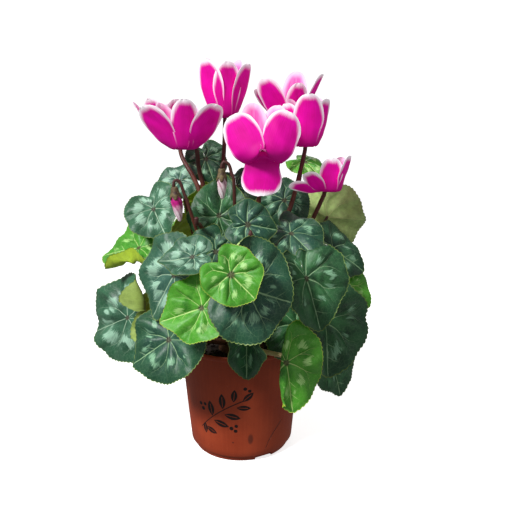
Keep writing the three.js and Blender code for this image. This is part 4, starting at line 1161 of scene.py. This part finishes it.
def rising_line(end, arrivals, bearing, radii, steps, fine):
    """The line from the crown to an end that the solid took, in fine steps.

    Of all the lines that it may take, this is the one that the solid has its corners round."""
    choices = []
    for arrival in arrivals:
        for aside in ASIDES:
            out = level(bearing + aside)
            root = out * CROWN_RADIUS + UP * CROWN_HEIGHT
            length = np.linalg.norm(end - root)
            for lean, pull, hold in BENDS:
                launch = out * math.sin(radians(lean)) + UP * math.cos(radians(lean))
                choices.append((root, root + launch * pull * length,
                                end - arrival * hold * length, end))
    choices = np.array(choices)
    shares = np.arange(1, steps) / steps
    wanted = radii[0] + (radii[1] - radii[0]) * shares
    spots = bezier(choices, shares)
    far = np.array([[solid_corners.find(spot)[2] for spot in row] for row in spots])
    misses = np.minimum(np.abs(far - wanted), 2).sum(1)
    return bezier(choices[int(np.argmin(misses))], np.linspace(0, 1, fine))


def leaf_stalk_line(name, size, face, tip, form):
    """The line of a leaf's stalk, on into its blade."""
    axes = blade_axes(face, tip)
    apex = apex_of(name, size, form, axes)
    end = apex - axes[2] * BELOW_BLADE - axes[0] * 0.5
    arrivals = []
    for lean, side in ARRIVALS:
        flat = axes[0] * math.cos(radians(side)) + axes[1] * math.sin(radians(side))
        arrivals.append(flat * math.sin(radians(lean)) + axes[2] * math.cos(radians(lean)))
    line = rising_line(end, arrivals, bearing_of(apex), (STALK_ROOT, STALK_END), STALK_STEPS,
                       STALK_POINTS)
    return np.concatenate([line, [end + axes[2] * INTO_BLADE]])


def tube_along(line, radii, sides):
    """A round tube with closed ends along a line, and how far along each point is."""
    along = np.gradient(line, axis=0)
    along /= np.linalg.norm(along, axis=1, keepdims=True)
    side = np.cross([0.31, 0.95, 0.07], along[0])
    turns = 2 * PI * np.arange(sides)[:, None] / sides
    rings = []
    for i, centre in enumerate(line):
        side = unit(side - along[i] * (side @ along[i]))
        across = np.cross(along[i], side)
        rings.append(centre + (side * np.cos(turns) + across * np.sin(turns)) * radii[i])
    points = np.concatenate(rings + [line[:1], line[-1:]])
    places = np.concatenate([np.repeat(np.linspace(0, 1, len(line)), sides), [0, 1]])
    start, end = len(points) - 2, len(points) - 1
    last = (len(line) - 1) * sides
    faces = []
    for k in range(sides):
        after = (k + 1) % sides
        faces.append((start, after, k))
        faces.append((end, last + k, last + after))
        faces += [(i + k, i + after, i + after + sides, i + k + sides)
                  for i in range(0, last, sides)]
    return points, faces, places


def stalk_material():
    """Red-brown skin, darker towards the end; a young leaf's is pale."""
    flow = new_material("stalk skin")
    along = flow.attribute("along")
    pale = flow.attribute("pale")
    where = flow.place()
    cloud = flow.noise(where, 60.0, 3.0)
    fine = flow.noise(where, 420.0, 2.0)
    red = (cloud * 0.7 + fine * 0.3).over(0.3, 0.7).mix((78, 38, 30), (122, 64, 48))
    red = (along.under(0.0, 0.4) * 0.6).mix(red, (140, 92, 66))
    red = (along.over(0.6, 0.95) * 0.7).mix(red, (66, 38, 40))
    base = pale.mix(red, cloud.over(0.3, 0.7).mix((196, 172, 122), (222, 204, 158)))
    return finish_of("stalk skin", base, 0.42 + fine * 0.2, fine, 0.00015,
                     {"Specular IOR Level": 0.4})


STALK_FINISH = stalk_material()


def crook(at, back, stem, top_height):
    """Points of a stem's crook, from beside its flower over onto the top of it."""
    around, out, rise = stem
    way = radians(around)
    steps = [
        (out, rise),
        (out * 0.86, rise + (top_height - rise) * 0.62),
        (out * 0.62, top_height + HOOK_RISE * 0.75),
        (out * 0.22, top_height + HOOK_RISE),
        (0, top_height + HOOK_RISE * 0.7),
        (0, top_height + 3),
    ]
    return [hung(np.array([far * math.cos(way), far * math.sin(way), height]), at, back)
            for far, height in steps]


def smooth_through(knots, fine):
    """A smooth line through some points, evenly spaced along it."""
    knots = np.array(knots)
    padded = np.concatenate([[2 * knots[0] - knots[1]], knots, [2 * knots[-1] - knots[-2]]])
    line = []
    for i in range(1, len(padded) - 2):
        a, b, c, d = padded[i - 1:i + 3]
        for t in np.linspace(0, 1, 8, endpoint=False):
            line.append(0.5 * (2 * b + (c - a) * t + (2 * a - 5 * b + 4 * c - d) * t ** 2
                               + (3 * b - a - 3 * c + d) * t ** 3))
    line = np.array(line + [knots[-1]])
    gone = np.concatenate([[0], np.cumsum(np.linalg.norm(np.diff(line, axis=0), axis=1))])
    even = np.linspace(0, gone[-1], fine)
    return np.stack([np.interp(even, gone, line[:, axis]) for axis in range(3)], -1)


def stem_line(at, back, stem, top_height):
    """The line of a flower's or bud's stem, from the crown over its crook into its top."""
    hook = crook(at, back, stem, top_height)
    entry = hook[0]
    arrival = unit(unit(entry - UP * 99) + flower_axes(back)[2] * 0.6)
    leaning = [unit(level(turn) + UP * 3) for turn in (0, 90, 180, 270)]
    end_radius = STEM_ROOT + (STEM_END - STEM_ROOT) * STEM_STEPS / (STEM_STEPS + CROOK_STEPS)
    rising = rising_line(entry, [arrival, UP, *leaning], bearing_of(entry),
                         (STEM_ROOT, end_radius), STEM_STEPS, 2 * STEM_STEPS + 1)
    return smooth_through(np.concatenate([rising[:-1], hook]), STEM_POINTS)


SEPAL_SIDES, SEPAL_RINGS = 60, 9
SEPAL_NECK = 3.6                  # how far they reach up the stem
FLOWER_SEPALS, BUD_SEPALS = 3.4, 6.5         # how far they reach down over a tube or a bud


def sepals(at, back, top_height, radius_at, reach):
    """Five pointed sepals lying close round the top of a tube or bud, under the end of its stem."""
    turns = 2 * PI * np.arange(SEPAL_SIDES) / SEPAL_SIDES
    lobe = np.abs(np.cos(2.5 * turns)) ** 0.8
    down = np.linspace(0, 1, SEPAL_RINGS)
    rings = []
    for share in [*down, *down[::-1]]:
        outer = len(rings) < SEPAL_RINGS
        height = top_height + SEPAL_NECK - (SEPAL_NECK + reach * (0.35 + 0.65 * lobe)) * share
        body = np.where(height < top_height, radius_at(np.minimum(height, top_height)), 0)
        over = np.clip((top_height + SEPAL_NECK - height) / SEPAL_NECK, 0, 1)
        radius = np.maximum(body + 0.15, 1.35 + (radius_at(top_height) - 1.1) * over ** 0.7)
        radius = radius + (0.6 * (1 - share) + 0.25 if outer else 0.0) + 0.1 * lobe
        rings.append(np.stack([radius * np.cos(turns), radius * np.sin(turns), height], -1))
    faces = []
    for ring in range(len(rings)):
        low, high = ring * SEPAL_SIDES, ((ring + 1) % len(rings)) * SEPAL_SIDES
        for k in range(SEPAL_SIDES):
            after = (k + 1) % SEPAL_SIDES
            faces.append((high + k, high + after, low + after, low + k))
    return hung(np.concatenate(rings), at, back), faces


def stalk_piece(name, tubes):
    """A piece of stalk skin from tubes, each with how pale it is."""
    points, faces, along, pale = joined(
        [(*tube, np.full(len(tube[0]), paleness)) for tube, paleness in tubes])
    piece(name, points, faces, STALK_FINISH, "tuber_and_stalks", "stalk",
          {"along": along, "pale": pale})


def leaf_stalk(name, tone, size, face, tip, form):
    """A leaf's stalk, and how pale it is."""
    line = leaf_stalk_line(name, size, face, tip, form)
    stout = STOUT.get(name, 1)
    radii = np.linspace(STALK_ROOT, STALK_END, len(line)) * stout
    paleness = 0.95 if stout > 1 else 0.25 if tone == "young" else 0.05
    return tube_along(line, radii, STALK_SIDES), paleness


def stem_and_cap(at, back, stem, top_height, full, radius_at, reach):
    """A stem with its crook, and the sepals at its end."""
    radii = np.linspace(STEM_ROOT, STEM_END, STEM_POINTS) * full
    tube = tube_along(stem_line(at, back, stem, top_height), radii, STEM_SIDES)
    return tube, sepals(at, back, top_height, radius_at, reach)


def shoot(tip, farther):
    """A young stem that ends in a small blunt point."""
    end = np.array(tip, float)
    bearing = bearing_of(end)
    arrivals = [unit(level(bearing) + UP), UP]
    line = rising_line(end, arrivals, bearing, (SHOOT_ROOT, SHOOT_END), SHOOT_STEPS, 60)
    on = unit(end - line[-2]) * np.linspace(0.25, 1, len(SHOOT_TIP))[:, None] * farther
    line = np.concatenate([line, end + on])
    radii = np.linspace(SHOOT_ROOT, SHOOT_END, len(line))
    radii[-len(SHOOT_TIP):] = SHOOT_END * np.array(SHOOT_TIP)
    return tube_along(line, radii, STEM_SIDES)


def tube_radius(height):
    """Of the tube of a flower, at a height over its mouth."""
    return np.interp(height, [1, 3.4, TUBE_LENGTH - 0.9, TUBE_LENGTH], [6.5, 5.9, 4.2, 3.9])


ends = [stem_and_cap(at, back, stem, TUBE_LENGTH, STEM_FULL, tube_radius, FLOWER_SEPALS)
        for _, at, back, stem, _ in FLOWERS]
ends += [stem_and_cap(at, back, stem, length, BUD_STEM_FULL,
                      lambda height: bud_radius(height / length) * radius * 1.03, BUD_SEPALS)
         for _, at, back, stem, length, radius in BUDS]
shoots = [shoot(*of_shoot) for of_shoot in SHOOTS]
stalk_piece("leaf_stalks", [leaf_stalk(*of_leaf) for of_leaf in LEAVES])
stalk_piece("flower_stems", [(tube, 0.0) for tube in [tube for tube, _ in ends] + shoots])


def sepal_material():
    """Green skin, mottled with red-brown."""
    flow = new_material("sepals")
    where = flow.place()
    cloud = flow.noise(where, 260.0, 3.0)
    fine = flow.noise(where, 1200.0, 2.0)
    base = (cloud * 0.6 + fine * 0.4).over(0.35, 0.65).mix((62, 38, 34), (128, 112, 72))
    return finish_of("sepals", base, 0.55 + fine * 0.15, fine, 0.0002)


points, faces = joined([cap for _, cap in ends])
piece("sepals", points, faces, sepal_material(), "tuber_and_stalks", "stalk")


# ------------------------------------------------------------------------------------------------
# Camera, light and floor

FLOOR_RADIUS, SWEEP_RADIUS, BACKDROP_TOP = 1400, 900, 3500
BACKDROP_SIDES = 96
GLOW = 0.8                        # of the backdrop, so that it stays white behind the plant
WORLD_LIGHT = 0.22
CAMERA_PLACE, CAMERA_TILT, CAMERA_LENS = (0.019, -0.473, 0.273), 77.44, 37.8


def backdrop():
    """A pale floor that sweeps up all round into a wall, open at the top."""
    sweep = [(FLOOR_RADIUS + SWEEP_RADIUS * math.sin(t), SWEEP_RADIUS - SWEEP_RADIUS * math.cos(t))
             for t in np.linspace(0.08, PI / 2, 24)]
    wall_top = (FLOOR_RADIUS + SWEEP_RADIUS, BACKDROP_TOP)
    points, faces = lathe([(0, 0), (500, 0), (1000, 0), (FLOOR_RADIUS, 0), *sweep, wall_top,
                           (0, BACKDROP_TOP)], BACKDROP_SIDES)
    lid = len(points) - 1
    floor = object_of("backdrop", points[:lid], [face[::-1] for face in faces if lid not in face])
    flow = new_material("pale floor")
    tint = flow.noise(flow.place(), 3.0).mix((247, 247, 247), (250, 250, 250))
    floor.data.materials.append(
        finish_of("pale floor", tint, 0.8, fixed={"Emission Strength": GLOW}))
    floor.visible_diffuse = False
    floor.visible_glossy = False


def lamp(name, place, target, size, power):
    light = bpy.data.lights.new(name, "AREA")
    light.shape = "DISK"
    light.size = size
    light.energy = power
    made = placed(name, light)
    made.location = place
    made.rotation_euler = (Vector(target) - Vector(place)).to_track_quat("-Z", "Y").to_euler()


backdrop()
lamp("key", (-0.9, -0.9, 1.3), (0, 0, 0.17), 0.35, 30)
lamp("fill", (0.9, -1.1, 0.4), (0, 0, 0.17), 0.9, 1.2)
lamp("back", (0.2, 1.0, 0.9), (0, 0, 0.2), 0.9, 3)

world = bpy.data.worlds.new("studio")
world.use_nodes = True
light_of_world = world.node_tree.nodes["Background"].inputs
light_of_world["Color"].default_value = (1, 1, 1, 1)
light_of_world["Strength"].default_value = WORLD_LIGHT
bpy.context.scene.world = world

camera = bpy.data.cameras.new("camera")
camera.lens = CAMERA_LENS
camera.sensor_width = 36
viewer = placed("camera", camera)
viewer.location = CAMERA_PLACE
viewer.rotation_euler = (radians(CAMERA_TILT), 0, 0)
bpy.context.scene.camera = viewer
bpy.context.scene.view_settings.view_transform = "Standard"
